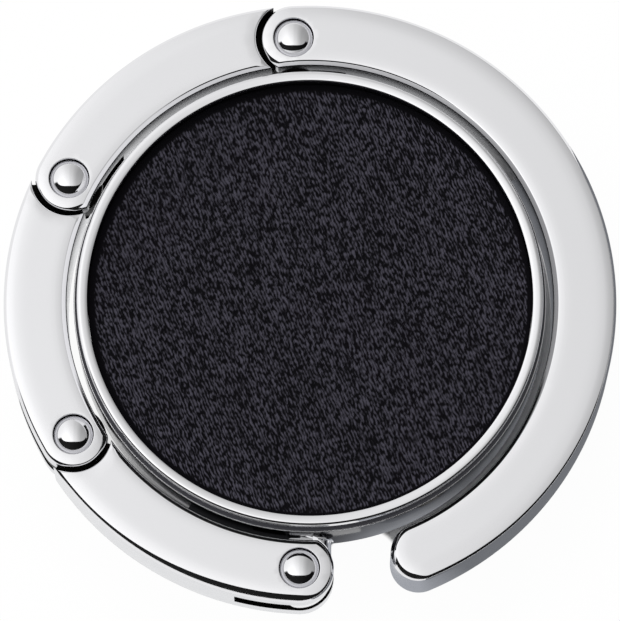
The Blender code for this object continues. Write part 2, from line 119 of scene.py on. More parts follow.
ARM_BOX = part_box("hook_arm")
DISC_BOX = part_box("disc_body")
TRAY_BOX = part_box("bezel_tray")
LEATHER_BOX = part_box("leather_inlay")
PAD_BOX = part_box("rubber_pad")
JOINTS = {joint["name"]: joint for joint in frame["record"]["behaviour"]["joints"]}
HINGES = {}
for joint_name in ("base_hinge", "lower_hinge", "upper_hinge", "hook_hinge"):
    hinge_x, hinge_y, RING_MIDDLE = JOINTS[joint_name]["pos_m"]
    HINGES[joint_name] = atan2(hinge_y, hinge_x) % (2 * pi)
RIVET_CIRCLE = hypot(hinge_x, hinge_y)


def length(name, default, description):
    return bpy.props.FloatProperty(name=name, default=default, description=description, unit="LENGTH",
                                   min=0.0, precision=6)


def turn(name, default, description):
    return bpy.props.FloatProperty(name=name, default=default, description=description, subtype="ANGLE")


def ratio(name, default, description):
    return bpy.props.FloatProperty(name=name, default=default, description=description, min=0.0)


def linear(code):
    """An sRGB hex colour as linear RGBA."""
    channels = [int(code[i:i + 2], 16) / 255 for i in (1, 3, 5)]
    return [c / 12.92 if c <= 0.04045 else ((c + 0.055) / 1.055) ** 2.4 for c in channels] + [1.0]


def colour(name, code, description):
    return bpy.props.FloatVectorProperty(name=name, default=linear(code), description=description,
                                         subtype="COLOR", size=4, min=0.0, max=1.0)


# The white ceiling's level by direction along X, from the window side to the far side
CEILING = ((-1.0, 0.86), (-0.8, 0.95), (-0.56, 1.0), (-0.3, 0.9), (-0.05, 0.79), (0.05, 0.7), (0.3, 0.58),
           (0.56, 0.4), (0.8, 0.34), (0.93, 0.3), (1.0, 0.24))
# The low dark strip in front: its fall to the sides, its soft upper edge, where along Y it ends and its level
STRIP_FALL = 0.5
STRIP_FADE = 0.03
STRIP_END = (-0.2, 0.0)
STRIP_LEVEL = 0.01

# The card's glow by place along X, a painted reflection in the chrome: black under the neck and the disc,
# paler by the hook arm's tip
CARD_REACH = 20 * MM
CARD = ((-20 * MM, 0.03), (0.0, 0.03), (5 * MM, 0.5), (8 * MM, 0.5), (12 * MM, 0.22), (20 * MM, 0.22))
CARD_TINT = (0.9, 0.93, 1.0, 1.0)
# The card's two sheets, as start, end, inner and outer radius: under the disc, and round the hook's right
CARD_SHEETS = ((radians(238), radians(283), 15 * MM, 18.6 * MM),
               (radians(283), radians(395), 15 * MM, 300 * MM))
CARD_HIGH = 0.2 * MM
CARD_STEPS = 40

# The table: half its width, where its white ends inside the ring, and the ring's mouth
TABLE_HALF = 1.5
WHITE = (1.0, 1.0, 1.0, 1.0)
SHADE_EDGE = 0.2 * MM
# Painted light: plain white glows in the ring's gap towards this side, fading in over this span
GAP_LIGHT = (-0.707, 0.707, 0.0)
GAP_FADE = (-4 * MM, 8 * MM)
MOUTH_MIDDLE = (3.9 * MM, -18.6 * MM, 0.0)
MOUTH_FADE = (2.6 * MM, 3.0 * MM)

KEY_SIZE = (0.5, 0.25)
KEY_PLACE = (-0.12, 0.42, 0.5)


class HookRingSizes(bpy.types.PropertyGroup):
    outer: length("Outer radius", ARM_BOX[1][0], "The ring's outer edge")
    inner: length("Inner radius", 17.88 * MM, "The ring's inner edge, clear of the disc")
    eye: length("Eye radius", 2.5 * MM, "Round fork end over each rivet")
    cut: length("Cut radius", 2.8 * MM, "Hollow that takes the neighbour's eye")
    tongue: length("Tongue radius", 2.4 * MM, "Round end between the neighbour's ears")
    tongue_half: length("Half tongue", 0.85 * MM, "Half the tongue's thickness")
    slot_half: length("Half slot", 1.0 * MM, "Half the gap between the ears")
    slot_depth: length("Slot depth", 1.7 * MM, "How far the slot goes past the eye")
    low: length("Underside", ARM_BOX[0][2], "The ring's underside above the table")
    high: length("Top", ARM_BOX[1][2], "The ring's top face above the table")
    corner: length("Corner rounding", 0.1 * MM, "Rounding on both sides of the edges' chamfers")
    foot: length("Chamfer foot", 0.14 * MM, "Rounding from the outer wall to the chamfer")
    chamfer: length("Chamfer curve", 1.6 * MM, "Radius of the outer edge's soft chamfer: larger is wider")
    wide_chamfer: length("Wide chamfer curve", 3.8 * MM, "The first link's chamfer by its eye")
    tip_chamfer: length("Tip chamfer curve", 3.0 * MM, "Radius of the chamfer round the hook arm's tip")
    inner_foot: length("Inner chamfer foot", 0.15 * MM, "Rounding from the inner wall to its chamfer")
    inner_chamfer: length("Inner chamfer curve", 2.0 * MM, "Radius of the inner edge's soft chamfer")
    inner_tilt: turn("Inner chamfer tilt", radians(15), "How much flatter the inner chamfer lies")
    hollow_chamfer: length("Hollow chamfer curve", 0.5 * MM, "Radius of the hollow's soft chamfer")
    low_chamfer: length("Lower chamfer curve", 0.6 * MM, "Radius of the lower edges' chamfer")
    slope: turn("Edge slope", radians(12), "Where the crowned face has turned to when it meets its chamfer")
    crown_width: length("Crown width", 1.6 * MM, "Outer strip of the top face that falls away")
    crown_drop: length("Crown drop", 0.23 * MM, "How far the top face would fall at its outer edge")
    inner_width: length("Inner crown width", 1.2 * MM, "Inner strip of the top face that falls away")
    inner_drop: length("Inner crown drop", 0.12 * MM, "How far the top face would fall at its inner edge")
    lip_width: length("Lip width", 1.1 * MM, "Strip along the hollow that falls away")
    lip_drop: length("Lip drop", 0.07 * MM, "How far the top face falls at the hollow")
    tip_angle: turn("Tip angle", radians(-67), "Where the hook arm's round tip is centred")
    tip_radius: length("Tip radius", 2.1 * MM, "The hook arm's round tip")
    grain: length("Mesh spacing", 0.3 * MM, "Spacing of the top face's points")


class HookRivetSizes(bpy.types.PropertyGroup):
    shank: length("Shank radius", 0.78 * MM, "The rivet's shank")
    hole: length("Hole radius", 0.86 * MM, "The shank's hole")
    head: length("Head radius", 1.46 * MM, "The round step under the dome")
    dome: length("Dome radius", 1.44 * MM, "The domed head")
    recess: length("Recess radius", 1.5 * MM, "The round recess that takes the head")
    recess_depth: length("Recess depth", 0.9 * MM, "Depth of the head's recess")
    recess_round: length("Recess rounding", 0.05 * MM, "Rounding of the recess's edge")
    tail_rim_round: length("Tail recess rounding", 0.07 * MM, "Rounding of the tail recess's edge")
    band: length("Head step", 0.46 * MM, "Height of the round step under the dome")
    bevel_high: length("Step bevel height", 0.05 * MM, "Height of the bevel on the round step")
    bevel_wide: length("Step bevel width", 0.02 * MM, "Width of the bevel on the round step")
    dome_edge: turn("Dome edge", radians(59), "How steep the dome is at its edge")
    tail: length("Tail radius", 1.2 * MM, "The peened tail below")
    tail_height: length("Tail height", 0.35 * MM, "Height of the peened tail")
    tail_flat: ratio("Tail flat share", 0.45, "The tail's flat end, in tail radii")
    tail_round: ratio("Tail round share", 0.6, "How much of the tail's height is rounded")
    tail_recess: length("Tail recess", 0.5 * MM, "Depth of the tail's recess")
    seat: length("Seat gap", 0.03 * MM, "Gap under the head and the tail")
    clearance: length("Tail clearance", 0.13 * MM, "Gap round the tail")


class HookDiscSizes(bpy.types.PropertyGroup):
    radius: length("Disc radius", DISC_BOX[1][0], "The disc's side wall")
    low: length("Underside", DISC_BOX[0][2], "The cup's foot above the table")
    high: length("Cup top", DISC_BOX[1][2], "The cup's upper edge")
    foot: length("Foot rounding", 0.6 * MM, "Rounding under the side wall")
    lip: length("Lip rounding", 0.12 * MM, "Rounding of the cup's upper edge")
    wall: length("Wall", 1.75 * MM, "The cup's side wall")
    rebate: length("Rebate wall", 0.5 * MM, "What is left of the wall beside the tray")
    roof: length("Pad roof", 1.45 * MM, "Height of the cup's face over the pad")
    floor: length("Floor top", 2.05 * MM, "Height of the cup's inside floor")
    step: length("Rebate step", 5.2 * MM, "Height of the ledge that carries the tray")
    pad_seat: length("Pad seat radius", 14.1 * MM, "The round seat for the pad")
    tray_low: length("Tray underside", TRAY_BOX[0][2], "The tray's underside")
    tray_inside: length("Tray inside", 5.65 * MM, "The tray's inside floor")
    tray: length("Tray radius", 16.8 * MM, "The tray in the rebate")
    flange: length("Rim foot", 6.35 * MM, "Where the rim stands over the cup's edge")
    rim: length("Rim radius", TRAY_BOX[1][0], "The rim's outer side")
    opening: length("Opening radius", LEATHER_BOX[1][0] + 0.02 * MM,
                    "The rim's inner side, close round the leather")
    crown_width: length("Rim crown width", 0.45 * MM, "The strip that falls away to the leather")
    crown_drop: length("Rim crown drop", 0.14 * MM, "How far that strip falls")
    rim_top: length("Rim top", TRAY_BOX[1][2], "The rim's highest line")
    rim_round: length("Rim rounding", 0.31 * MM, "Rounding of the rim's outer edge")
    boss_face: length("Boss face", 14.2 * MM, "Inner face of the boss round the stem")
    boss_half: length("Half boss", 2.6 * MM, "Half the boss's width")
    boss_gap: length("Boss gap", 0.1 * MM, "From the boss's top up to the tray's ledge")


class HookLeatherSizes(bpy.types.PropertyGroup):
    radius: length("Leather radius", LEATHER_BOX[1][0], "The leather face")
    low: length("Leather underside", LEATHER_BOX[0][2], "Underside of the leather")
    high: length("Leather top", LEATHER_BOX[1][2], "Top of the leather's ridges")
    edge: length("Edge rounding", 0.15 * MM, "Rounding of the cut edge")
    ridge_width: length("Ridge spacing", 0.215 * MM, "From ridge to ridge across the grain")
    ridge_length: length("Ridge length", 0.6 * MM, "Length of one ridge along the grain")
    ridge_height: length("Ridge height", 0.06 * MM, "From valley to ridge")
    lean: turn("Grain lean", radians(23), "How far the grain leans from the Y axis towards -X")
    # The pressed band is also painted dark as the rim's shadow on the leather, widest where that shadow falls
    band: length("Pressed band", 0.12 * MM, "Smooth pressed band along the edge, at its narrowest")
    band_growth: length("Band growth", 0.3 * MM, "How much wider the band is at its widest")
    painted_shadow_side: turn("Band side", radians(125), "Direction in which the band is widest")
    cells: bpy.props.IntProperty(name="Grid cells", default=480, min=16,
                                 description="Grid cells across the leather")


class HookPadSizes(bpy.types.PropertyGroup):
    radius: length("Pad radius", PAD_BOX[1][0], "The rubber pad")
    high: length("Pad top", PAD_BOX[1][2], "The pad's upper face")
    edge: length("Pad edge", 0.25 * MM, "Rounding of the pad's lower edge")
    bevel: length("Pad bevel", 0.1 * MM, "Bevel of the pad's upper edge")
    groove_depth: length("Groove depth", 0.12 * MM, "Depth of the grip grooves")
    groove_width: length("Groove width", 0.35 * MM, "Width of one grip groove")
    groove_pitch: length("Groove pitch", 1.4 * MM, "From groove to groove")
    margin_share: ratio("Margin share", 0.8, "The first groove's distance from the rounding, in pitches")
    grooves: bpy.props.IntProperty(name="Grooves", default=3, description="Number of grip grooves", min=0)


class HookSwivelSizes(bpy.types.PropertyGroup):
    stem: length("Stem radius", 1.1 * MM, "The stem in the disc's wall")
    bore: length("Bore radius", 1.17 * MM, "The stem's hole")
    neck: length("Neck radius", 1.55 * MM, "The round neck that shows")
    collar: length("Collar radius", 1.75 * MM, "The collar against the disc")
    shoulder: length("Shoulder", 17.45 * MM, "Where the collar starts")
    collar_end: length("Collar end", 17.65 * MM, "Where the collar ends")
    head_end: length("Head end", 12.95 * MM, "Inner end of the peened head")
    head_face: length("Head face", 13.4 * MM, "Where the peened head meets the washers")
    head: length("Head radius", 1.35 * MM, "The peened head")
    head_share: ratio("Head end share", 0.9, "The head's flat end, in stem radii")
    collar_bevel: length("Collar bevel", 0.06 * MM, "Bevel of the collar's edges")
    eye_room: length("Eye room", 2.72 * MM, "Round room for the first link's ears")


class HookMagnetSizes(bpy.types.PropertyGroup):
    angle: turn("Magnet angle", radians(-58), "Direction of both magnets from the centre")
    pocket: length("Pocket radius", 1.31 * MM, "The magnets' pockets")
    arm_depth: length("Arm pocket depth", 2.0 * MM, "Depth of the pocket in the arm")
    skin: length("Wall skin", 0.5 * MM, "What is left of the cup's wall over its magnet")


class HookColours(bpy.types.PropertyGroup):
    chrome: colour("Chrome", "#E6E6E8", "Polished chrome plate")
    # Painted shade: the side walls take a darker chrome colour for the shade they reflect
    side_shaded_chrome: colour("Satin sides", "#D4D5D8", "Chrome plate on the unbuffed side walls")
    # Painted shade: slots, hollows and recess floors are near black, where shade falls between the parts
    sunk_shaded_chrome: colour("Sunk surfaces", "#121110", "Chrome plate in slots and hollows and on recess floors")
    # Painted shade: the cup is painted dark for the shade its wall reflects from the ring's gap
    painted_shade_plate: colour("Dark plate", "#3A3A3E", "Black nickel plate on the cup")
    steel: colour("Steel", "#BDBDBB", "Zinc-plated steel")
    nickel: colour("Nickel", "#CEC8BC", "Nickel plate on the magnets")
    # Painted sheen and shade: the leather's ridge colour lightens the grain's tops, its valley colour darkens
    # the valleys
    ridge: colour("Leather ridge", "#45434E", "Top of the leather's grain")
    valley: colour("Leather valley", "#030206", "Bottom of the leather's grain")
    rubber: colour("Rubber", "#1E1E1F", "Moulded black rubber")
    film: colour("Film", "#D9D2BC", "Double-sided adhesive film")
    floor: colour("Floor", "#FFFFFF", "Plain white table")


class HookStudio(bpy.types.PropertyGroup):
    distance: length("Camera distance", 450 * MM, "From the camera to the pad's centre")
    tilt: turn("Camera tilt", radians(12.85), "The camera's lean from the vertical towards -Y")
    aim: turn("Camera aim", radians(12.93), "The camera's own turn from looking straight down")
    lens: bpy.props.FloatProperty(name="Lens", default=350.7, description="Focal length", unit="CAMERA")
    key_power: bpy.props.FloatProperty(name="Key light", default=1.6, unit="POWER",
                                       description="Main lamp from behind")
    overhead: ratio("Overhead", 1.27, "Radiance of the white ceiling")
    forward: ratio("Forward light", 0.28, "How much brighter the front is")
    front_high: ratio("Front height", 0.85, "Height of the dark strip")
    floor_share: ratio("Floor glow", 0.97, "Share of plain white table")
    # Painted light: the share of plain white painted into the upper left of the ring's gap
    painted_gap_glow_share: ratio("Gap glow", 0.95, "Plain white in the ring's gap")


def polar(radius, angle, centre=CENTRE):
    return (centre[0] + radius * cos(angle), centre[1] + radius * sin(angle))


def arc(centre, radius, start, end, count):
    """Points of an arc in count steps, both ends included."""
    return [polar(radius, start + (end - start) * i / count, centre) for i in range(count + 1)]


def circle(centre, radius, count):
    return arc(centre, radius, 0.0, 2 * pi, count)[:-1]


def apart(centre, x, y):
    """Distance in plan from a centre to a point."""
    return hypot(x - centre[0], y - centre[1])


def heading(centre, point, least):
    """Direction from centre to point, as the first angle not under least."""
    found = atan2(point[1] - centre[1], point[0] - centre[0])
    while found < least:
        found += 2 * pi
    return found


def crossing(radius, reach):
    """Angle at the centre between a hinge and where a circle of that reach round it meets a radius."""
    return acos((RIVET_CIRCLE ** 2 + radius ** 2 - reach ** 2) / (2 * RIVET_CIRCLE * radius))


def smooth(share):
    share = min(1.0, max(0.0, share))
    return share * share * (3 - 2 * share)


def at_height(points, height):
    return [(x, y, height) for x, y in points]


def strip(bm, first, second, closed=False):
    """Quads between two equal rows of points."""
    count = len(first)
    for i in range(count if closed else count - 1):
        j = (i + 1) % count
        corners = [first[i], first[j], second[j], second[i]]
        kept = [c for k, c in enumerate(corners) if (Vector(c) - Vector(corners[k - 1])).length > MERGE]
        if len(kept) > 2:
            bm.faces.new([bm.verts.new(c) for c in kept])


def encloses(loop, point):
    """Whether a closed loop of 2-D points goes round a point."""
    found = False
    for i in range(len(loop)):
        a, b = loop[i - 1], loop[i]
        if (a.y > point.y) != (b.y > point.y) and point.x < a.x + (b.x - a.x) * (point.y - a.y) / (b.y - a.y):
            found = not found
    return found


def fill(bm, rims, inside, height):
    """Triangles inside the first rim of 3-D points and outside the others.

    Loose points inside take their height from height.
    """
    loops = [[Vector((x, y)) / MM for x, y, z in rim] for rim in rims]
    known = [z for rim in rims for x, y, z in rim]
    edges = []
    for loop in loops:
        start = len(edges)
        edges += [(start + i, start + (i + 1) % len(loop)) for i in range(len(loop))]
    flat = sum(loops, []) + [Vector(p) / MM for p in inside]
    points, _, faces, sources, _, _ = delaunay_2d_cdt(flat, edges, [], 0, 1e-5, True)
    made = []
    for point, source in zip(points, sources):
        x, y = point[0] * MM, point[1] * MM
        first = min(source) if source else len(known)
        made.append(bm.verts.new((x, y, known[first] if first < len(known) else height(x, y))))
    for face in faces:
        middle = sum((points[i] for i in face), Vector((0.0, 0.0))) / len(face)
        if encloses(loops[0], middle) and not any(encloses(loop, middle) for loop in loops[1:]):
            bm.faces.new([made[i] for i in face])


def finish_mesh(name, bm, material, sharp=SMOOTH_ANGLE):
    bmesh.ops.remove_doubles(bm, verts=bm.verts, dist=MERGE)
    bmesh.ops.delete(bm, geom=[v for v in bm.verts if not v.link_faces], context="VERTS")
    bmesh.ops.recalc_face_normals(bm, faces=bm.faces)
    mesh = bpy.data.meshes.new(name)
    bm.to_mesh(mesh)
    bm.free()
    mesh.shade_smooth()
    mesh.set_sharp_from_angle(angle=sharp)
    mesh.materials.append(material)
    made = bpy.data.objects.new(name, mesh)
    bpy.context.scene.collection.objects.link(made)
    return made


def turned(name, profile, material, segments, centre=CENTRE):
    """A profile of (radius, height) points turned round a vertical axis."""
    bm = bmesh.new()
    rows = [at_height(circle(centre, radius, segments), height) for radius, height in profile]
    for first, second in zip(rows, rows[1:]):
        strip(bm, first, second, closed=True)
    return finish_mesh(name, bm, material)


def rod(name, radius, start, end, material, segments, centre=CENTRE):
    """A plain cylinder from one height to another."""
    profile = [(0.0, start), (radius, start), (radius, end), (0.0, end)]
    return turned(name, profile, material, segments, centre)


def carve(made, cutters, operation="DIFFERENCE"):
    """Booleans worked into the mesh at once. The cutters are used up."""
    for cutter in cutters:
        modifier = made.modifiers.new("cut", "BOOLEAN")
        modifier.operation = operation
        modifier.solver = "EXACT"
        modifier.object = cutter
        graph = bpy.context.evaluated_depsgraph_get()
        mesh = bpy.data.meshes.new_from_object(made.evaluated_get(graph))
        made.modifiers.clear()
        old = made.data
        made.data = mesh
        mesh.name = made.name
        bpy.data.meshes.remove(old)
        bpy.data.objects.remove(cutter, do_unlink=True)
    slots = made.data.materials
    while len(slots) > 1:
        slots.pop()
    for polygon in made.data.polygons:
        polygon.material_index = 0
    made.data.shade_smooth()
    made.data.set_sharp_from_angle(angle=SMOOTH_ANGLE)


def lay_along(made, angle):
    """Turn a piece made round Z so that it points outwards from the centre at the ring's height."""
    turned_round = Matrix.Rotation(angle, 4, "Z") @ Matrix.Rotation(pi / 2, 4, "Y")
    made.data.transform(Matrix.Translation((0.0, 0.0, RING_MIDDLE)) @ turned_round)
    made.data.update()
    return made


def settle(made, body, slot, *nodes):
    """Hang a piece on its body's empty and hide the CAD nodes that it stands for. The slot is not used."""
    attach(made, body)
    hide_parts(*nodes)


def new_material(name):
    """An empty node material, with its output and shader."""
    made = bpy.data.materials.new(name)
    made.use_nodes = True
    made.node_tree.nodes.clear()
    output = made.node_tree.nodes.new("ShaderNodeOutputMaterial")
    shader = made.node_tree.nodes.new("ShaderNodeBsdfPrincipled")
    made.node_tree.links.new(shader.outputs["BSDF"], output.inputs["Surface"])
    return made, shader


def set_inputs(tree, node, inputs):
    """Set a node's inputs. Each is a value, or another node's output to link."""
    for key, value in inputs.items():
        if isinstance(value, bpy.types.NodeSocket):
            tree.links.new(value, node.inputs[key])
        else:
            node.inputs[key].default_value = value


def add_node(tree, kind, settings=None, inputs=None):
    node = tree.nodes.new(kind)
    for key, value in (settings or {}).items():
        setattr(node, key, value)
    set_inputs(tree, node, inputs or {})
    return node


def object_place(tree):
    return add_node(tree, "ShaderNodeTexCoord").outputs["Object"]


def painted(tree, name):
    """A value that the mesh carries under that name."""
    return add_node(tree, "ShaderNodeAttribute", {"attribute_name": name}).outputs["Fac"]


def maths(tree, operation, *values, clamp=False):
    """The result of one operation on values or outputs."""
    settings = {"operation": operation, "use_clamp": clamp}
    return add_node(tree, "ShaderNodeMath", settings, dict(enumerate(values))).outputs[0]


def mapped(tree, value, start, end, low, high, curve="LINEAR"):
    """Runs from low to high while the value runs from start to end."""
    inputs = {"Value": value, "From Min": start, "From Max": end, "To Min": low, "To Max": high}
    return add_node(tree, "ShaderNodeMapRange", {"interpolation_type": curve}, inputs).outputs["Result"]


def eased(tree, value, start, end, low, high):
    """The same, with a gentle start and end."""
    return mapped(tree, value, start, end, low, high, "SMOOTHSTEP")


def mottle(tree, size, detail, roughness=0.5, distortion=0.0):
    """Noise from 0 to 1 in patches of a real size."""
    inputs = {"Vector": object_place(tree), "Scale": 1 / size, "Detail": detail, "Roughness": roughness,
              "Distortion": distortion}
    return add_node(tree, "ShaderNodeTexNoise", inputs=inputs).outputs["Fac"]


def bumps(tree, height, strength, distance):
    inputs = {"Height": height, "Strength": strength, "Distance": distance}
    return add_node(tree, "ShaderNodeBump", inputs=inputs).outputs["Normal"]


def tinted(tree, value, stops, interpolation="LINEAR"):
    """A colour by value, from (place, colour) stops between 0 and 1."""
    ramp = add_node(tree, "ShaderNodeValToRGB", inputs={"Fac": value})
    ramp.color_ramp.interpolation = interpolation
    elements = ramp.color_ramp.elements
    for k, (place, shade) in enumerate(stops):
        if 0 < k < len(stops) - 1:
            stop = elements.new(place)
        else:
            stop = elements[0 if k == 0 else -1]
            stop.position = place
        stop.color = shade
    return ramp.outputs["Color"]


def greys(levels, reach):
    """Grey stops from (place, level) pairs whose places run from -reach to reach."""
    return [((x / reach + 1) / 2, (level, level, level, 1.0)) for x, level in levels]


def dimmed(shade, level):
    return [c * level for c in shade[:3]] + [1.0]


def polished_metal(name, shade, roughness, wave, unbuffed=None):
    """Cast metal, ground, buffed and plated: mirror-like, with a faint waviness and handling marks.

    The sides and slots that the buffing wheel misses are duller, and a mask paints their colour: painted
    shade on the chrome's side walls, slots, hollows and recess floors, and the bright chrome lip on the
    painted dark cup.
    """
    made, shader = new_material(name)
    tree = made.node_tree
    # Buffing leaves broad, very shallow waves, about 4 mm long
    waves = mottle(tree, 4 * MM, 1.0)
    # Handling marks: smudges about 1.5 mm across that change the gloss a little
    smudges = mottle(tree, 1.5 * MM, 4.0, roughness=0.6)
    gloss = mapped(tree, smudges, 0.35, 0.75, roughness * 0.7, roughness * 1.6)
    if unbuffed:
        side, sunk = unbuffed
        # The mask adds roughness for the duller finish and picks painted tones, mostly painted shade
        missed = painted(tree, "unbuffed")
        shade = tinted(tree, missed, ((0.0, shade), (0.5, side), (1.0, sunk)))
        gloss = maths(tree, "MULTIPLY_ADD", missed, 0.35, gloss)
    set_inputs(tree, shader, {"Base Color": shade, "Metallic": 1.0, "Roughness": gloss,
                              "Normal": bumps(tree, waves, 1.0, wave)})
    return made


def chrome_plate():
    # Decorative chrome over buffed zinc: a neutral, slightly cool mirror, satin on the sides that buffing
    # misses, with painted shade on its side walls and near-black painted shade in its slots, hollows and
    # recess floors
    found = bpy.data.materials.get("polished_chrome_plate")
    if found:
        return found
    colours = bpy.context.scene.hook_colours
    return polished_metal("polished_chrome_plate", colours.chrome, 0.05, 0.004 * MM,
                          (colours.side_shaded_chrome, colours.sunk_shaded_chrome))


def black_nickel():
    # Painted shade: the same mirror in a dark colour, standing in for the shade that the cup's wall reflects
    # from the ring's gap; its upper lip keeps the bright chrome colour
    colours = bpy.context.scene.hook_colours
    return polished_metal("polished_black_nickel", colours.painted_shade_plate, 0.14, 0.004 * MM,
                          (colours.painted_shade_plate, colours.chrome))


def zinc_steel():
    # Stamped steel with bright zinc: duller than chrome
    return polished_metal("stamped_zinc_steel", bpy.context.scene.hook_colours.steel, 0.25, 0.002 * MM)


def sintered_nickel():
    # Sintered magnet with nickel plate: warm and slightly dull, as plated powder is
    return polished_metal("nickel_plated_magnet", bpy.context.scene.hook_colours.nickel, 0.2, 0.003 * MM)


def grained_leather():
    """Embossed and dyed cowhide: the grain's tops are painted lighter as sheen and its valleys darker as
    shade, and the tops are shinier.
    """
    colours = bpy.context.scene.hook_colours
    made, shader = new_material("embossed_dyed_leather")
    tree = made.node_tree
    grain = painted(tree, "grain")
    # Fine creases 0.12 mm across, between the embossed ridges
    creases = add_node(tree, "ShaderNodeTexVoronoi", {"feature": "DISTANCE_TO_EDGE"},
                       {"Vector": object_place(tree), "Scale": 1 / (0.12 * MM)}).outputs["Distance"]
    # Dye takes unevenly in patches of about 3 mm
    lifted = maths(tree, "MULTIPLY_ADD", mottle(tree, 3 * MM, 3.0), 0.3, -0.15)
    level = maths(tree, "ADD", grain, lifted, clamp=True)
    # Painted shade and sheen: near black in the valleys, lighter on the ridges
    tones = ((0.3, colours.valley), (1.0, colours.ridge))
    set_inputs(tree, shader, {"Base Color": tinted(tree, level, tones),
                              "Roughness": mapped(tree, grain, 0.0, 1.0, 0.85, 0.42),
                              "Specular IOR Level": 0.12,
                              "Normal": bumps(tree, creases, 0.5, 0.01 * MM)})
    return made


def moulded_rubber():
    """Compression-moulded nitrile rubber: deep matt grey-black with the mould's fine stipple."""
    shade = bpy.context.scene.hook_colours.rubber
    made, shader = new_material("moulded_nitrile_rubber")
    tree = made.node_tree
    # The mould's spark-eroded stipple, 0.15 mm from pit to pit
    stipple = mottle(tree, 0.15 * MM, 2.0)
    # Wax that rises to the surface greys it in patches of about 5 mm
    bloom = mottle(tree, 5 * MM, 4.0)
    tones = ((0.0, dimmed(shade, 0.8)), (1.0, dimmed(shade, 1.5)))
    set_inputs(tree, shader, {"Base Color": tinted(tree, bloom, tones),
                              "Roughness": mapped(tree, bloom, 0.0, 1.0, 0.7, 0.9),
                              "Specular IOR Level": 0.4,
                              "Normal": bumps(tree, stipple, 0.6, 0.02 * MM)})
    return made


def adhesive_film():
    """Acrylic transfer tape: a thin, slightly yellow film with a fine fibre carrier."""
    shade = bpy.context.scene.hook_colours.film
    made, shader = new_material("acrylic_transfer_tape")
    tree = made.node_tree
    fibres = mottle(tree, 0.4 * MM, 3.0, distortion=1.0)
    set_inputs(tree, shader, {"Base Color": tinted(tree, fibres, ((0.0, dimmed(shade, 0.85)), (1.0, shade))),
                              "Roughness": 0.45})
    return made


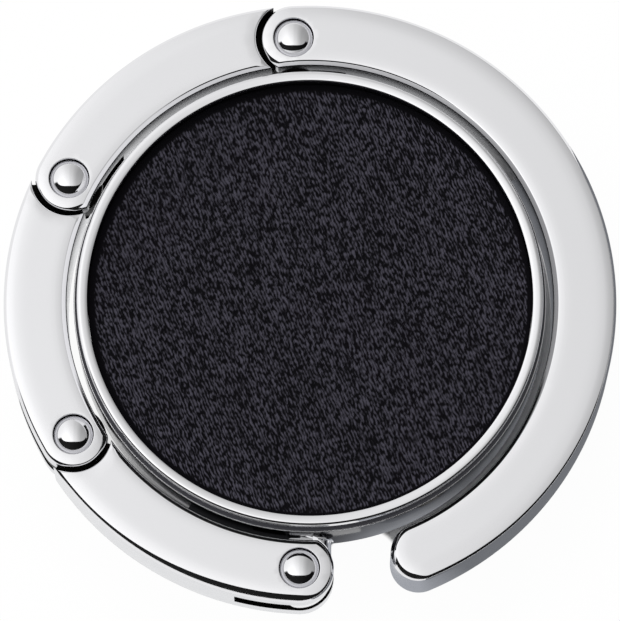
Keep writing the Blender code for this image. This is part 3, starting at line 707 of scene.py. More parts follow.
class RingPlan:
    """One ring piece seen from above: its outline in named runs, at any inset from its edges."""

    def __init__(self, ring, fork, tongue=None, wide=False):
        self.ring = ring
        self.wide = wide
        self.fork = fork
        self.tongue = tongue
        self.fork_centre = polar(RIVET_CIRCLE, fork)
        self.back = fork - (ring.eye + ring.slot_depth) / RIVET_CIRCLE
        if tongue is not None:
            self.far_centre = polar(RIVET_CIRCLE, tongue)
            body_start = tongue
        else:
            self.far_centre = polar(ring.outer - ring.tip_radius, ring.tip_angle)
            body_start = ring.tip_angle
        self.body_count = max(LEAST_BODY_STEPS, round((self.back - body_start) / BODY_STEP))

    def inner_edge(self, angle):
        """The hook arm's inner radius grows smoothly from its middle to its tip."""
        ring = self.ring
        if self.tongue is not None:
            return ring.inner
        grown = smooth(angle / ring.tip_angle)
        return ring.inner + (ring.outer - 2 * ring.tip_radius - ring.inner) * grown

    def runs(self, inset=0.0):
        """Runs of points, counter-clockwise from the far end's outer corner, each without its last point."""
        ring = self.ring
        outer = ring.outer - inset
        corner = self.fork + crossing(ring.inner + inset, ring.eye - inset)
        turn_end = heading(self.fork_centre, polar(ring.inner + inset, corner), self.fork)
        if self.tongue is None:
            outer_start = inner_end = ring.tip_angle
            far = arc(self.far_centre, ring.tip_radius - inset, inner_end + pi, inner_end + 2 * pi, TIP_STEPS)
        else:
            outer_start = self.tongue + crossing(outer, ring.cut + inset)
            inner_end = self.tongue + crossing(ring.inner + inset, ring.cut + inset)
            first = heading(self.far_centre, polar(ring.inner + inset, inner_end), self.tongue)
            last = heading(self.far_centre, polar(outer, outer_start), self.tongue)
            far = arc(self.far_centre, ring.cut + inset, first, last, HOLLOW_STEPS)
        count = self.body_count
        inner_body = []
        for i in range(count + 1):
            angle = self.back + (inner_end - self.back) * i / count
            inner_body.append(polar(self.inner_edge(angle) + inset, angle))
        found = {
            "outer_body": arc(CENTRE, outer, outer_start, self.back, count),
            "outer_ear": arc(CENTRE, outer, self.back, self.fork, EAR_STEPS),
            "eye": arc(self.fork_centre, ring.eye - inset, self.fork, turn_end, EYE_STEPS),
            "inner_ear": arc(CENTRE, ring.inner + inset, corner, self.back, INNER_EAR_STEPS),
            "inner_body": inner_body,
            "far": far,
        }
        return {name: points[:-1] for name, points in found.items()}

    def edges(self, runs):
        """Each outline point's edge radii and chamfer tilt, blended between kinds of edge."""
        ring = self.ring
        outer = Vector((ring.foot, ring.chamfer, ring.corner, 0.0))
        wide = Vector((ring.foot, ring.wide_chamfer if self.wide else ring.chamfer, ring.corner, 0.0))
        inner = Vector((ring.inner_foot, ring.inner_chamfer, ring.corner, ring.inner_tilt))
        hollow = Vector((ring.foot, ring.hollow_chamfer, ring.corner, 0.0))
        tip = Vector((ring.foot, ring.tip_chamfer, ring.corner, 0.0))
        blends = {
            "outer_body": ((0.0, outer), (1.0, wide)),
            "outer_ear": ((0.0, wide), (1.0, wide)),
            "eye": ((0.0, wide), (0.3, outer), (0.7, outer), (1.0, inner)),
            "inner_ear": ((0.0, inner), (1.0, inner)),
            "inner_body": ((0.0, inner), (1.0, inner)),
            "far": ((0.0, inner), (0.3, tip), (0.8, tip), (1.0, outer)),
        }
        if self.tongue is not None:
            blends["far"] = ((0.0, inner), (0.2, hollow), (0.75, hollow), (1.0, outer))
        found = []
        for name, points in runs.items():
            stops = blends[name]
            for i in range(len(points)):
                share = i / len(points)
                for (low, first), (high, second) in zip(stops, stops[1:]):
                    if low <= share < high:
                        found.append(first.lerp(second, smooth((share - low) / (high - low))))
        return found

    def unwound(self, x, y):
        """A point's direction from the centre, as an angle that runs on from the fork's."""
        angle = atan2(y, x)
        while angle < self.fork - REACH_BACK:
            angle += 2 * pi
        return angle

    def contains(self, x, y, outer_margin, inner_margin):
        ring = self.ring
        radius = hypot(x, y)
        angle = self.unwound(x, y)
        if radius > ring.outer - outer_margin or radius < self.inner_edge(angle) + inner_margin:
            return False
        if angle > self.fork and apart(self.fork_centre, x, y) > ring.eye - outer_margin:
            return False
        reach = apart(self.far_centre, x, y)
        if self.tongue is not None:
            return reach > ring.cut + inner_margin and angle > self.tongue
        return angle > ring.tip_angle or reach < ring.tip_radius - outer_margin

    def top(self, x, y):
        """Height of the polished top face, which rolls off towards its edges and the hollow."""
        ring = self.ring
        radius = hypot(x, y)
        angle = self.unwound(x, y)
        far_reach = apart(self.far_centre, x, y)
        to_outer = ring.outer - radius
        to_inner = radius - self.inner_edge(angle)
        if angle > self.fork:
            to_outer = ring.eye - apart(self.fork_centre, x, y)
        outer_drop = ring.crown_drop
        inner_drop = ring.inner_drop
        if self.tongue is None and angle < ring.tip_angle:
            to_outer = to_inner = ring.tip_radius - far_reach
            along = atan2(y - self.far_centre[1], x - self.far_centre[0]) - ring.tip_angle
            across = smooth(abs((along + pi) % (2 * pi) - pi) / pi)
            outer_drop *= 1 - across
            inner_drop *= across
        height = ring.high - roll_off(to_outer, ring.crown_width, outer_drop)
        height -= roll_off(to_inner, ring.inner_width, inner_drop)
        if self.tongue is not None:
            height -= roll_off(far_reach - ring.cut, ring.lip_width, ring.lip_drop)
        return height


def roll_off(distance, width, drop):
    """How far a crowned face has fallen at a distance from its edge."""
    return drop * min(1.0, max(0.0, 1.0 - distance / width)) ** 3


def edge_profile(edge, slope):
    """An edge as (inward, down) points from the wall up to a face that has the given slope.

    The edge is the radii of its turn off the wall, its broad and nearly flat chamfer and its turn into the
    face, and how much flatter than usual the chamfer lies.
    """
    foot, chamfer, corner, tilt = edge
    inward = rise = 0.0
    angle = pi / 2
    points = [(inward, rise)]
    turns = ((CHAMFER_LOW - tilt, foot), (CHAMFER_HIGH - tilt, chamfer), (slope, corner))
    for (end, radius), steps in zip(turns, EDGE_STEPS):
        step = (end - angle) / steps
        for _ in range(steps):
            inward += radius * (sin(angle) - sin(angle + step))
            rise += radius * (cos(angle + step) - cos(angle))
            angle += step
            points.append((inward, rise))
    return [(x, rise - z) for x, z in points]


def face_points(plan, hole, outer_margin, inner_margin):
    """Loose points over the top face, on rings round the centre."""
    ring = plan.ring
    low = plan.tongue if plan.tongue is not None else ring.tip_angle - ring.tip_radius / ring.outer
    high = plan.fork + ring.eye / RIVET_CIRCLE
    rows = max(2, round((ring.outer - ring.inner) / ring.grain))
    found = []
    for row in range(1, rows):
        radius = ring.inner + (ring.outer - ring.inner) * row / rows
        count = round((high - low) * radius / ring.grain)
        for i in range(1, count):
            x, y = polar(radius, low + (high - low) * i / count)
            if apart(plan.fork_centre, x, y) > hole and plan.contains(x, y, outer_margin, inner_margin):
                found.append((x, y))
    return found


def rounded_rim(bm, plan, edges, top, sign, slope):
    """The polished edge from the wall to the face. Returns the wall's end and the face's rim."""
    profiles = [edge_profile(radii, slope) for radii in edges]
    deepest = max(profile[-1][0] for profile in profiles)
    outline = sum(plan.runs().values(), [])
    inset = sum(plan.runs(deepest).values(), [])
    columns = []
    for start, end, profile in zip(outline, inset, profiles):
        places = [Vector(start).lerp(Vector(end), inward / deepest) for inward, _ in profile]
        height = top(*places[-1])
        columns.append([(*place, height - sign * down) for place, (_, down) in zip(places, profile)])
    rows = list(zip(*columns))
    for first, second in zip(rows, rows[1:]):
        strip(bm, first, second, closed=True)
    return list(rows[0]), list(rows[-1])


def recess(bm, centre, radius, rounding, top, floor, hole, end, sign):
    """A round recess with a rounded edge, and the shank's hole below it. Returns its first and last rim."""
    rows = []
    for k in range(RECESS_ROUND_STEPS + 1):
        angle = pi / 2 * k / RECESS_ROUND_STEPS
        rim = circle(centre, radius + rounding * (1 - sin(angle)), BORE_STEPS)
        rows.append([(x, y, top(x, y) - sign * rounding * (1 - cos(angle))) for x, y in rim])
    for reach, height in ((radius, floor), (hole, floor), (hole, end)):
        rows.append(at_height(circle(centre, reach, BORE_STEPS), height))
    for first, second in zip(rows, rows[1:]):
        strip(bm, first, second, closed=True)
    return rows[0], rows[-1]


def ring_piece(name, plan, rivet, material):
    """A link or the hook arm: rounded and crowned above, with its fork's slot, bore and tongue."""
    ring = plan.ring
    bm = bmesh.new()
    runs = plan.runs()
    outline = sum(runs.values(), [])
    roof = RING_MIDDLE + ring.slot_half
    floor = RING_MIDDLE - ring.slot_half
    tongue_high = RING_MIDDLE + ring.tongue_half
    tongue_low = RING_MIDDLE - ring.tongue_half

    def underside(x, y):
        return ring.low

    edges = plan.edges(runs)
    wall_top, face_rim = rounded_rim(bm, plan, edges, plan.top, 1, ring.slope)
    head_floor = ring.high - rivet.recess_depth
    hole_rim, roof_rim = recess(bm, plan.fork_centre, rivet.recess, rivet.recess_round, plan.top,
                                head_floor, rivet.hole, roof, 1)
    gap = ring.grain / 2
    outer_edge = max(edge_profile(radii, ring.slope)[-1][0] for radii in edges)
    inner_radii = (ring.inner_foot, ring.inner_chamfer, ring.corner, ring.inner_tilt)
    inner_edge = edge_profile(inner_radii, ring.slope)[-1][0]
    spare = face_points(plan, rivet.recess + rivet.recess_round + gap, outer_edge + gap, inner_edge + gap)
    fill(bm, [face_rim, hole_rim], spare, plan.top)
    strip(bm, wall_top, at_height(outline, roof), closed=True)

    low_edges = [(ring.corner, ring.low_chamfer, ring.corner, 0.0)] * len(outline)
    wall_low, low_rim = rounded_rim(bm, plan, low_edges, underside, -1, 0.0)
    tail = rivet.tail + rivet.clearance
    tail_rim, floor_rim = recess(bm, plan.fork_centre, tail, rivet.tail_rim_round, underside,
                                 ring.low + rivet.tail_recess, rivet.hole, floor, -1)
    fill(bm, [low_rim, tail_rim], [], underside)
    strip(bm, wall_low, at_height(outline, floor), closed=True)

    ears = runs["outer_ear"] + runs["eye"] + runs["inner_ear"] + runs["inner_body"][:1]
    for height, bore_rim in ((roof, roof_rim), (floor, floor_rim)):
        fill(bm, [at_height(ears, height), bore_rim], [], underside)
    body = runs["outer_body"] + runs["outer_ear"][:1] + runs["inner_body"] + runs["far"][:1]
    levels = (roof, tongue_high, tongue_low, floor)
    for upper, lower in zip(levels, levels[1:]):
        strip(bm, at_height(body, upper), at_height(body, lower))
    far = runs["far"] + runs["outer_body"][:1]
    if plan.tongue is None:
        for upper, lower in zip(levels, levels[1:]):
            strip(bm, at_height(far, upper), at_height(far, lower))
        return finish_mesh(name, bm, material)
    strip(bm, at_height(far, roof), at_height(far, tongue_high))
    strip(bm, at_height(far, tongue_low), at_height(far, floor))
    start = heading(plan.far_centre, far[-1], plan.tongue)
    end = heading(plan.far_centre, far[0], plan.tongue) - 2 * pi
    end_run = [far[-1]] + arc(plan.far_centre, ring.tongue, start, end, TONGUE_STEPS) + [far[0]]
    strip(bm, at_height(end_run, tongue_high), at_height(end_run, tongue_low))
    hole = circle(plan.far_centre, rivet.hole, BORE_STEPS)
    strip(bm, at_height(hole, tongue_high), at_height(hole, tongue_low), closed=True)
    for height in (tongue_high, tongue_low):
        fill(bm, [at_height(far + end_run[1:-1], height), at_height(hole, height)], [], underside)
    return finish_mesh(name, bm, material)


def mark_rough_and_shaded(made, plan, rivet):
    """Mark what the buffing wheel doesn't reach and where shade is painted: 0.5 on side walls, painted a
    little darker, and 1 in slots, hollows and recess floors, painted near black.

    The head's recess is turned with a bright wall, which stays plain.
    """
    ring = plan.ring
    layer = made.data.attributes.new("unbuffed", "FLOAT", "FACE")
    for polygon, item in zip(made.data.polygons, layer.data):
        x, y, z = polygon.center
        from_fork = apart(plan.fork_centre, x, y)
        upright = abs(polygon.normal.z) < UPRIGHT
        bright_wall = upright and abs(from_fork - rivet.recess) < rivet.recess_round and z > RING_MIDDLE
        slot = abs(z - RING_MIDDLE) < ring.slot_half + MERGE and not upright
        hollow = plan.tongue is not None and upright and apart(plan.far_centre, x, y) < ring.cut + MERGE
        # Painted shade: slots, hollows and recess floors go near black, upright walls a little darker
        if slot or hollow or (from_fork < rivet.recess + MERGE and not bright_wall):
            item.value = 1.0
        elif upright and not bright_wall:
            item.value = 0.5


class HOOK_OT_ring(bpy.types.Operator):
    """Build the three links and the hook arm"""
    bl_idname = "table_hook.ring"
    bl_label = "Ring"

    def execute(self, context):
        ring = context.scene.hook_ring
        rivet = context.scene.hook_rivets
        magnets = context.scene.hook_magnets
        metal = chrome_plate()
        chain = (("first_link", "base_hinge", "lower_hinge"), ("second_link", "lower_hinge", "upper_hinge"),
                 ("third_link", "upper_hinge", "hook_hinge"))
        for node, fork, tongue in chain:
            plan = RingPlan(ring, HINGES[fork], HINGES[tongue], node == "first_link")
            made = ring_piece("polished_" + node, plan, rivet, metal)
            mark_rough_and_shaded(made, plan, rivet)
            settle(made, node + "_body", "chrome", node)
        plan = RingPlan(ring, HINGES["hook_hinge"])
        made = ring_piece("polished_hook_arm", plan, rivet, metal)
        face = plan.inner_edge(magnets.angle)
        pocket = rod("pocket", magnets.pocket, face - OVERRUN, face + magnets.arm_depth, metal, POCKET_STEPS)
        carve(made, [lay_along(pocket, magnets.angle)])
        mark_rough_and_shaded(made, plan, rivet)
        settle(made, "hook_body", "chrome", "hook_arm")
        return {"FINISHED"}


class HOOK_OT_rivets(bpy.types.Operator):
    """Build the four domed rivets"""
    bl_idname = "table_hook.rivets"
    bl_label = "Rivets"

    def execute(self, context):
        rivet = context.scene.hook_rivets
        ring = context.scene.hook_ring
        seat = ring.high - rivet.recess_depth + rivet.seat
        tail = ring.low + rivet.tail_recess - rivet.seat
        low = tail - rivet.tail_height
        profile = [(0.0, low), (rivet.tail * rivet.tail_flat, low)]
        for i in range(1, TAIL_STEPS + 1):
            angle = pi / 2 * i / TAIL_STEPS
            radius = rivet.tail * (rivet.tail_flat + (1 - rivet.tail_flat) * sin(angle))
            profile.append((radius, low + rivet.tail_height * rivet.tail_round * (1 - cos(angle))))
        step = seat + rivet.band
        profile += [(rivet.tail, tail), (rivet.shank, tail), (rivet.shank, seat), (rivet.head, seat),
                    (rivet.head, step - rivet.bevel_high), (rivet.head - rivet.bevel_wide, step)]
        ball = rivet.dome / sin(rivet.dome_edge)
        for i in range(DOME_STEPS + 1):
            angle = rivet.dome_edge * (1 - i / DOME_STEPS)
            profile.append((ball * sin(angle), step + ball * (cos(angle) - cos(rivet.dome_edge))))
        pairs = (("base", "first_link_body"), ("lower", "second_link_body"), ("upper", "third_link_body"),
                 ("hook", "hook_body"))
        for hinge, body in pairs:
            centre = polar(RIVET_CIRCLE, HINGES[hinge + "_hinge"])
            made = turned("domed_" + hinge + "_rivet", profile, chrome_plate(), RIVET_STEPS, centre)
            settle(made, body, "chrome", hinge + "_rivet")
        return {"FINISHED"}


class HOOK_OT_disc(bpy.types.Operator):
    """Build the cast cup with its boss, bore and magnet pocket"""
    bl_idname = "table_hook.disc"
    bl_label = "Disc cup"

    def execute(self, context):
        disc = context.scene.hook_disc
        swivel = context.scene.hook_swivel
        magnets = context.scene.hook_magnets
        metal = black_nickel()
        cavity = disc.radius - disc.wall
        profile = [(0.0, disc.roof), (disc.pad_seat, disc.roof), (disc.pad_seat, disc.low)]
        profile += arc((disc.radius - disc.foot, disc.low + disc.foot), disc.foot, -pi / 2, 0.0, FOOT_STEPS)
        profile += arc((disc.radius - disc.lip, disc.high - disc.lip), disc.lip, 0.0, pi / 2, LIP_STEPS)
        profile += [(disc.radius - disc.rebate, disc.high), (disc.radius - disc.rebate, disc.step),
                    (cavity, disc.step), (cavity, disc.floor), (0.0, disc.floor)]
        made = turned("black_nickel_cup", profile, metal, CUP_STEPS)
        middle = -(cavity + disc.wall / 2)
        half = disc.boss_half
        corners = [(-half, middle), (half, middle), (half, -disc.boss_face), (-half, -disc.boss_face)]
        bm = bmesh.new()
        low = at_height(corners, (disc.roof + disc.floor) / 2)
        high = at_height(corners, disc.step - disc.boss_gap)
        strip(bm, low, high, closed=True)
        for loop in (low, high):
            bm.faces.new([bm.verts.new(c) for c in loop])
        carve(made, [finish_mesh("boss", bm, metal)], "UNION")
        bore = rod("bore", swivel.bore, disc.boss_face - OVERRUN, disc.radius + OVERRUN, metal, BORE_STEPS)
        seat = disc.radius - magnets.skin
        pocket = rod("pocket", magnets.pocket, cavity - OVERRUN, seat, metal, POCKET_STEPS)
        carve(made, [lay_along(bore, -pi / 2), lay_along(pocket, magnets.angle)])
        # The lip's rounding keeps the bright chrome colour, while the rest of the cup is painted dark as
        # shade
        layer = made.data.attributes.new("unbuffed", "FLOAT", "FACE")
        for polygon, item in zip(made.data.polygons, layer.data):
            if polygon.center.z > disc.high - disc.lip and UPRIGHT < polygon.normal.z < LEVEL:
                item.value = 1.0
        settle(made, "disc", "black_nickel", "disc_body")
        return {"FINISHED"}


class HOOK_OT_bezel(bpy.types.Operator):
    """Build the tray with its bright rounded rim"""
    bl_idname = "table_hook.bezel"
    bl_label = "Bezel"

    def execute(self, context):
        disc = context.scene.hook_disc
        shoulder = disc.rim_top - disc.rim_round
        profile = [(0.0, disc.tray_low), (disc.tray, disc.tray_low), (disc.tray, disc.flange),
                   (disc.rim, disc.flange)]
        profile += arc((disc.rim - disc.rim_round, shoulder), disc.rim_round, 0.0, pi / 2, RIM_ROUND_STEPS)
        for i in range(CROWN_STEPS + 1):
            angle = pi / 2 * i / CROWN_STEPS
            profile.append((disc.opening + disc.crown_width * (1 - sin(angle)),
                            disc.rim_top - disc.crown_drop * (1 - cos(angle))))
        profile += [(disc.opening, disc.tray_inside), (0.0, disc.tray_inside)]
        made = turned("rounded_bezel_rim", profile, chrome_plate(), RIM_STEPS)
        settle(made, "disc", "chrome", "bezel_tray")
        return {"FINISHED"}


def grain_layer(layer, u, v):
    """One layer of noise, at a place counted in ridges."""
    strength, across, along, depth = layer
    return strength * noise.noise(Vector((u * across, v * along, depth)))


def leather_height(leather, x, y):
    """The grain's height from 0 in a valley to 1 on a ridge."""
    u = (cos(leather.lean) * x + sin(leather.lean) * y) / leather.ridge_width
    v = (cos(leather.lean) * y - sin(leather.lean) * x) / leather.ridge_length
    sway = sum(grain_layer(layer, u, v) for layer in GRAIN_SWAY)
    ridges = 0.5 + 0.5 * cos(2 * pi * (u + sway))
    broken = grain_layer(GRAIN_BREAKS, u, v)
    floor = GRAIN_FLOOR + BREAK_IN_FLOOR * broken + grain_layer(GRAIN_FINE, u, v)
    return min(1.0, max(0.0, floor + ridges * (RIDGE_SHARE + BREAK_IN_RIDGES * broken)))


class HOOK_OT_leather(bpy.types.Operator):
    """Build the grained leather face"""
    bl_idname = "table_hook.leather"
    bl_label = "Leather"

    def execute(self, context):
        leather = context.scene.hook_leather
        cells = leather.cells
        flat = leather.radius - leather.edge
        bm = bmesh.new()
        grain = bm.verts.layers.float.new("grain")
        grid = []
        for j in range(cells + 1):
            row = []
            for i in range(cells + 1):
                a = 2 * i / cells - 1
                b = 2 * j / cells - 1
                x = flat * a * sqrt(1 - b * b / 2)
                y = flat * b * sqrt(1 - a * a / 2)
                level = leather_height(leather, x, y)
                # Painted shadow: near the edge the grain is pressed down and painted valley-dark, most widely
                # to the upper left, where the rim's shadow falls
                shadow_share = 0.5 + 0.5 * cos(atan2(y, x) - leather.painted_shadow_side)
                band = leather.band + leather.band_growth * shadow_share
                level *= smooth((flat - hypot(x, y)) / band - 0.5)
                drop = leather.ridge_height * (1 - level)
                vert = bm.verts.new((x, y, leather.high - drop))
                vert[grain] = level
                row.append(vert)
            grid.append(row)
        for j in range(cells):
            for i in range(cells):
                bm.faces.new((grid[j][i], grid[j][i + 1], grid[j + 1][i + 1], grid[j + 1][i]))
        edge = [grid[0][i] for i in range(cells)] + [grid[j][cells] for j in range(cells)]
        edge += [grid[cells][i] for i in range(cells, 0, -1)] + [grid[j][0] for j in range(cells, 0, -1)]
        shoulder = leather.high - leather.ridge_height - leather.edge
        above = edge
        for k in range(1, LEATHER_EDGE_STEPS + 1):
            angle = pi / 2 * k / LEATHER_EDGE_STEPS
            radius = flat + leather.edge * sin(angle)
            height = shoulder + leather.edge * cos(angle)
            above = self.ring_below(bm, above, radius, height)
        bottom = self.ring_below(bm, above, leather.radius, leather.low)
        bm.faces.new(bottom)
        made = finish_mesh("grained_leather_face", bm, grained_leather(), GRAIN_ANGLE)
        settle(made, "disc", "leather", "leather_inlay")
        return {"FINISHED"}

    def ring_below(self, bm, above, radius, height):
        below = []
        for vert in above:
            angle = atan2(vert.co.y, vert.co.x)
            below.append(bm.verts.new((*polar(radius, angle), height)))
        for i in range(len(above)):
            bm.faces.new((above[i - 1], above[i], below[i], below[i - 1]))
        return below


class HOOK_OT_pad(bpy.types.Operator):
    """Build the rubber pad with its grip grooves"""
    bl_idname = "table_hook.pad"
    bl_label = "Rubber pad"

    def execute(self, context):
        pad = context.scene.hook_pad
        profile = [(0.0, pad.high), (pad.radius - pad.bevel, pad.high), (pad.radius, pad.high - pad.bevel)]
        profile += arc((pad.radius - pad.edge, pad.edge), pad.edge, 0.0, -pi / 2, PAD_EDGE_STEPS)
        half = pad.groove_width / 2
        for i in range(pad.grooves):
            middle = pad.radius - pad.edge - pad.groove_pitch * (i + pad.margin_share)
            for k in range(GROOVE_STEPS + 1):
                angle = pi * k / GROOVE_STEPS
                profile.append((middle + half * cos(angle), pad.groove_depth * sin(angle)))
        profile.append((0.0, 0.0))
        made = turned("moulded_grip_pad", profile, moulded_rubber(), PAD_STEPS)
        settle(made, "disc", "rubber", "rubber_pad")
        return {"FINISHED"}


class HOOK_OT_swivel(bpy.types.Operator):
    """Build the swivel neck with its stem and tongue"""
    bl_idname = "table_hook.swivel"
    bl_label = "Swivel neck"

    def execute(self, context):
        swivel = context.scene.hook_swivel
        ring = context.scene.hook_ring
        rivet = context.scene.hook_rivets
        metal = chrome_plate()
        neck_end = RIVET_CIRCLE - ring.eye / 2
        soft = swivel.collar_bevel
        profile = [(0.0, swivel.head_end), (swivel.stem * swivel.head_share, swivel.head_end),
                   (swivel.head, (swivel.head_end + swivel.head_face) / 2), (swivel.head, swivel.head_face),
                   (swivel.stem, swivel.head_face), (swivel.stem, swivel.shoulder),
                   (swivel.collar - soft, swivel.shoulder), (swivel.collar, swivel.shoulder + soft),
                   (swivel.collar, swivel.collar_end - soft), (swivel.collar - soft, swivel.collar_end),
                   (swivel.neck, swivel.collar_end), (swivel.neck, neck_end), (0.0, neck_end)]
        made = lay_along(turned("polished_swivel_neck", profile, metal, RIVET_STEPS), -pi / 2)
        low = RING_MIDDLE - ring.tongue_half
        high = RING_MIDDLE + ring.tongue_half
        centre = polar(RIVET_CIRCLE, HINGES["base_hinge"])
        rooms = ((ring.low - OVERRUN, low), (high, ring.high + OVERRUN))
        carve(made, [rod("room", swivel.eye_room, *ends, metal, RIVET_STEPS, centre) for ends in rooms])
        half = swivel.neck
        left = heading(centre, (-half, -swivel.collar_end), 0.0)
        right = heading(centre, (half, -swivel.collar_end), 0.0) + 2 * pi
        inside_collar = -(swivel.shoulder + swivel.collar_end) / 2
        outline = [(half, inside_collar), (-half, inside_collar)]
        outline += arc(centre, ring.tongue, left, right, NECK_TONGUE_STEPS)
        bm = bmesh.new()
        strip(bm, at_height(outline, low), at_height(outline, high), closed=True)
        for height in (low, high):
            fill(bm, [at_height(outline, height)], [], None)
        carve(made, [finish_mesh("tongue", bm, metal)], "UNION")
        carve(made, [rod("hole", rivet.hole, low - OVERRUN, high + OVERRUN, metal, BORE_STEPS, centre)])
        settle(made, "knuckle", "chrome", "swivel_knuckle")
        return {"FINISHED"}


class HOOK_OT_hidden(bpy.types.Operator):
    """Give the hidden CAD pieces their finishes"""
    bl_idname = "table_hook.hidden"
    bl_label = "Washers, magnets and films"

    def execute(self, context):
        finishes = ((zinc_steel(), ("spring_washer", "flat_washer")),
                    (sintered_nickel(), ("rim_magnet", "tip_magnet")),
                    (adhesive_film(), ("inlay_adhesive", "pad_adhesive")))
        for finish, nodes in finishes:
            for node in nodes:
                for slot in frame["nodes"][node].material_slots:
                    slot.material = finish
        return {"FINISHED"}


class HOOK_OT_stage(bpy.types.Operator):
    """Build the white table, the studio's light and the camera"""
    bl_idname = "table_hook.stage"
    bl_label = "Stage"

    def execute(self, context):
        self.add_floor(context)
        self.add_reflection_card()
        self.add_world(context)
        studio = context.scene.hook_studio
        lamp = bpy.data.lights.new("key_softbox", "AREA")
        lamp.shape = "RECTANGLE"
        lamp.size, lamp.size_y = KEY_SIZE
        lamp.energy = studio.key_power
        key = bpy.data.objects.new("key_softbox", lamp)
        key.location = KEY_PLACE
        key.rotation_euler = (-key.location).to_track_quat("-Z", "Y").to_euler()
        key.visible_glossy = False
        context.scene.collection.objects.link(key)
        shot = bpy.data.cameras.new("camera")
        shot.sensor_width = 36.0
        shot.sensor_fit = "AUTO"
        shot.lens = studio.lens
        shot.clip_start = 0.01
        shot.clip_end = 20.0
        camera = bpy.data.objects.new("camera", shot)
        camera.location = (0.0, -studio.distance * sin(studio.tilt), studio.distance * cos(studio.tilt))
        camera.rotation_euler = (studio.aim, 0.0, 0.0)
        context.scene.collection.objects.link(camera)
        context.scene.camera = camera
        context.scene.view_settings.view_transform = "Standard"
        return {"FINISHED"}

    def add_floor(self, context):
        # Matt white laminate: plain white to the eye, and it keeps the hook's soft shadow
        studio = context.scene.hook_studio
        plain = context.scene.hook_colours.floor
        made, shader = new_material("matt_white_table")
        tree = made.node_tree
        set_inputs(tree, shader, {"Base Color": plain, "Roughness": 0.9, "Specular IOR Level": 0.0})
        path = add_node(tree, "ShaderNodeLightPath").outputs
        seen = maths(tree, "MAXIMUM", path["Is Camera Ray"], path["Is Glossy Ray"])
        seen = maths(tree, "MAXIMUM", seen, path["Is Transmission Ray"])
        # Inside the ring the table shows the hook's rendered shadow, except at the mouth, where it stays
        # plain white, and in the upper left of the ring's gap, where plain white is painted in as a glow, so
        # that the shade is deepest to the lower right
        place = object_place(tree)
        reach = self.measured(tree, "LENGTH", place)
        along = self.measured(tree, "DOT_PRODUCT", place, GAP_LIGHT)
        to_mouth = self.measured(tree, "DISTANCE", place, MOUTH_MIDDLE)
        inner = context.scene.hook_ring.inner
        open_table = eased(tree, reach, inner, inner + SHADE_EDGE, 0.0, studio.floor_share)
        painted_gap_glow = eased(tree, along, *GAP_FADE, 0.0, studio.painted_gap_glow_share)
        mouth = eased(tree, to_mouth, *MOUTH_FADE, studio.floor_share, 0.0)
        lit = maths(tree, "MAXIMUM", maths(tree, "MAXIMUM", open_table, painted_gap_glow), mouth)
        white = add_node(tree, "ShaderNodeEmission", inputs={"Color": plain}).outputs["Emission"]
        mixed = add_node(tree, "ShaderNodeMixShader",
                         inputs={0: maths(tree, "MULTIPLY", seen, lit), 1: shader.outputs["BSDF"], 2: white})
        set_inputs(tree, tree.nodes["Material Output"], {"Surface": mixed.outputs["Shader"]})
        mesh = bpy.data.meshes.new("white_table")
        corners = ((-1, -1), (1, -1), (1, 1), (-1, 1))
        mesh.from_pydata([(TABLE_HALF * x, TABLE_HALF * y, 0.0) for x, y in corners], [], [(0, 1, 2, 3)])
        mesh.materials.append(made)
        floor = bpy.data.objects.new("white_table", mesh)
        context.scene.collection.objects.link(floor)

    def measured(self, tree, operation, *vectors):
        """A number from one or two vectors."""
        settings = {"operation": operation}
        return add_node(tree, "ShaderNodeVectorMath", settings, dict(enumerate(vectors))).outputs["Value"]

    def add_reflection_card(self):
        """A glowing card under the disc's edge and round the hook's right, seen only in the chrome as a
        painted dark reflection.
        """
        # Emission only, from black to cool grey: a painted reflection of shade in the chrome
        made, shader = new_material("matt_black_card")
        tree = made.node_tree
        tree.nodes.remove(shader)
        axes = add_node(tree, "ShaderNodeSeparateXYZ", inputs={"Vector": object_place(tree)}).outputs
        across = mapped(tree, axes["X"], -CARD_REACH, CARD_REACH, 0.0, 1.0)
        level = tinted(tree, across, greys(CARD, CARD_REACH))
        glow = add_node(tree, "ShaderNodeEmission", inputs={"Color": CARD_TINT, "Strength": level})
        set_inputs(tree, tree.nodes["Material Output"], {"Surface": glow.outputs["Emission"]})
        bm = bmesh.new()
        for start, end, near, far in CARD_SHEETS:
            rows = [arc(CENTRE, radius, start, end, CARD_STEPS) for radius in (near, far)]
            strip(bm, *(at_height(row, CARD_HIGH) for row in rows))
        card = finish_mesh("black_card", bm, made)
        card.visible_camera = False
        card.visible_diffuse = False
        card.visible_shadow = False

    def add_world(self, context):
        """A white ceiling, bright to the left and dim to the right, with a low dark strip in front."""
        studio = context.scene.hook_studio
        world = bpy.data.worlds.new("studio")
        context.scene.world = world
        world.use_nodes = True
        tree = world.node_tree
        tree.nodes.clear()
        place = add_node(tree, "ShaderNodeTexCoord").outputs["Generated"]
        axes = add_node(tree, "ShaderNodeSeparateXYZ", inputs={"Vector": place}).outputs
        across = mapped(tree, axes["X"], -1.0, 1.0, 0.0, 1.0)
        ceiling = tinted(tree, across, greys(CEILING, 1.0), "CARDINAL")
        forward = maths(tree, "MULTIPLY_ADD", axes["Y"], -studio.forward, 1.0 + 0.2 * studio.forward)
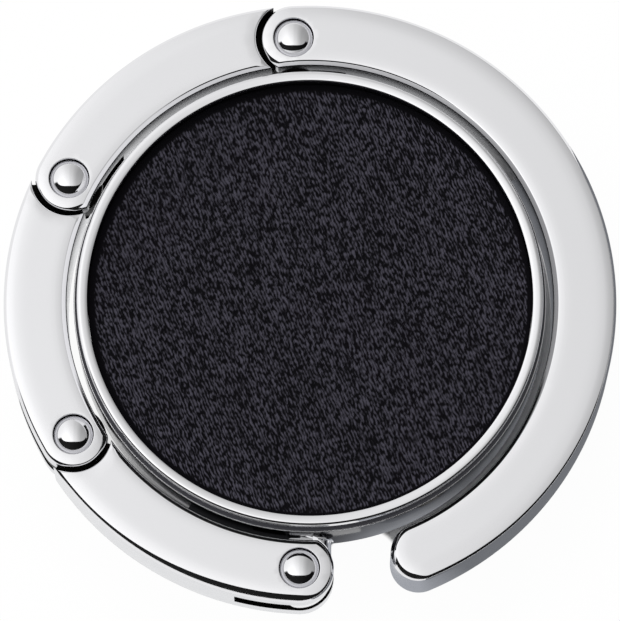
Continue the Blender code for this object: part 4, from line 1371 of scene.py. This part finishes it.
        # The strip falls away to both sides, so that a domed rivet shows its upper edge straight
        squared = maths(tree, "MULTIPLY", axes["X"], axes["X"])
        fallen = maths(tree, "MULTIPLY_ADD", squared, STRIP_FALL, axes["Z"])
        above = eased(tree, fallen, studio.front_high - STRIP_FADE, studio.front_high, 0.0, 1.0)
        behind = eased(tree, axes["Y"], *STRIP_END, 0.0, 1.0)
        lit = eased(tree, maths(tree, "MAXIMUM", above, behind), 0.0, 1.0, STRIP_LEVEL, 1.0)
        level = ceiling
        for factor in (forward, lit, studio.overhead):
            level = maths(tree, "MULTIPLY", level, factor)
        light = add_node(tree, "ShaderNodeBackground", inputs={"Strength": level, "Color": WHITE})
        output = add_node(tree, "ShaderNodeOutputWorld")
        set_inputs(tree, output, {"Surface": light.outputs["Background"]})


OPERATORS = (HOOK_OT_stage, HOOK_OT_ring, HOOK_OT_rivets, HOOK_OT_disc, HOOK_OT_bezel, HOOK_OT_leather,
             HOOK_OT_pad, HOOK_OT_swivel, HOOK_OT_hidden)
GROUPS = {
    "hook_ring": HookRingSizes,
    "hook_rivets": HookRivetSizes,
    "hook_disc": HookDiscSizes,
    "hook_leather": HookLeatherSizes,
    "hook_pad": HookPadSizes,
    "hook_swivel": HookSwivelSizes,
    "hook_magnets": HookMagnetSizes,
    "hook_colours": HookColours,
    "hook_studio": HookStudio,
}


class HOOK_PT_panel(bpy.types.Panel):
    """Lists the hook's pieces"""
    bl_idname = "HOOK_PT_panel"
    bl_label = "Table hook"
    bl_space_type = "VIEW_3D"
    bl_region_type = "UI"
    bl_category = "Table hook"

    def draw(self, context):
        for operator in OPERATORS:
            self.layout.operator(operator.bl_idname)
        for name, group in GROUPS.items():
            box = self.layout.box()
            box.label(text=name.replace("_", " "))
            for key in group.__annotations__:
                box.prop(getattr(context.scene, name), key)


def register():
    for group in GROUPS.values():
        bpy.utils.register_class(group)
    for operator in OPERATORS:
        bpy.utils.register_class(operator)
    bpy.utils.register_class(HOOK_PT_panel)
    for name, group in GROUPS.items():
        setattr(bpy.types.Scene, name, bpy.props.PointerProperty(type=group))


def unregister():
    for name in GROUPS:
        delattr(bpy.types.Scene, name)
    bpy.utils.unregister_class(HOOK_PT_panel)
    for operator in reversed(OPERATORS):
        bpy.utils.unregister_class(operator)
    for group in reversed(list(GROUPS.values())):
        bpy.utils.unregister_class(group)


def main():
    register()
    bpy.ops.table_hook.stage()
    bpy.ops.table_hook.ring()
    bpy.ops.table_hook.rivets()
    bpy.ops.table_hook.disc()
    bpy.ops.table_hook.bezel()
    bpy.ops.table_hook.leather()
    bpy.ops.table_hook.pad()
    bpy.ops.table_hook.swivel()
    bpy.ops.table_hook.hidden()


if __name__ == "__main__":
    main()
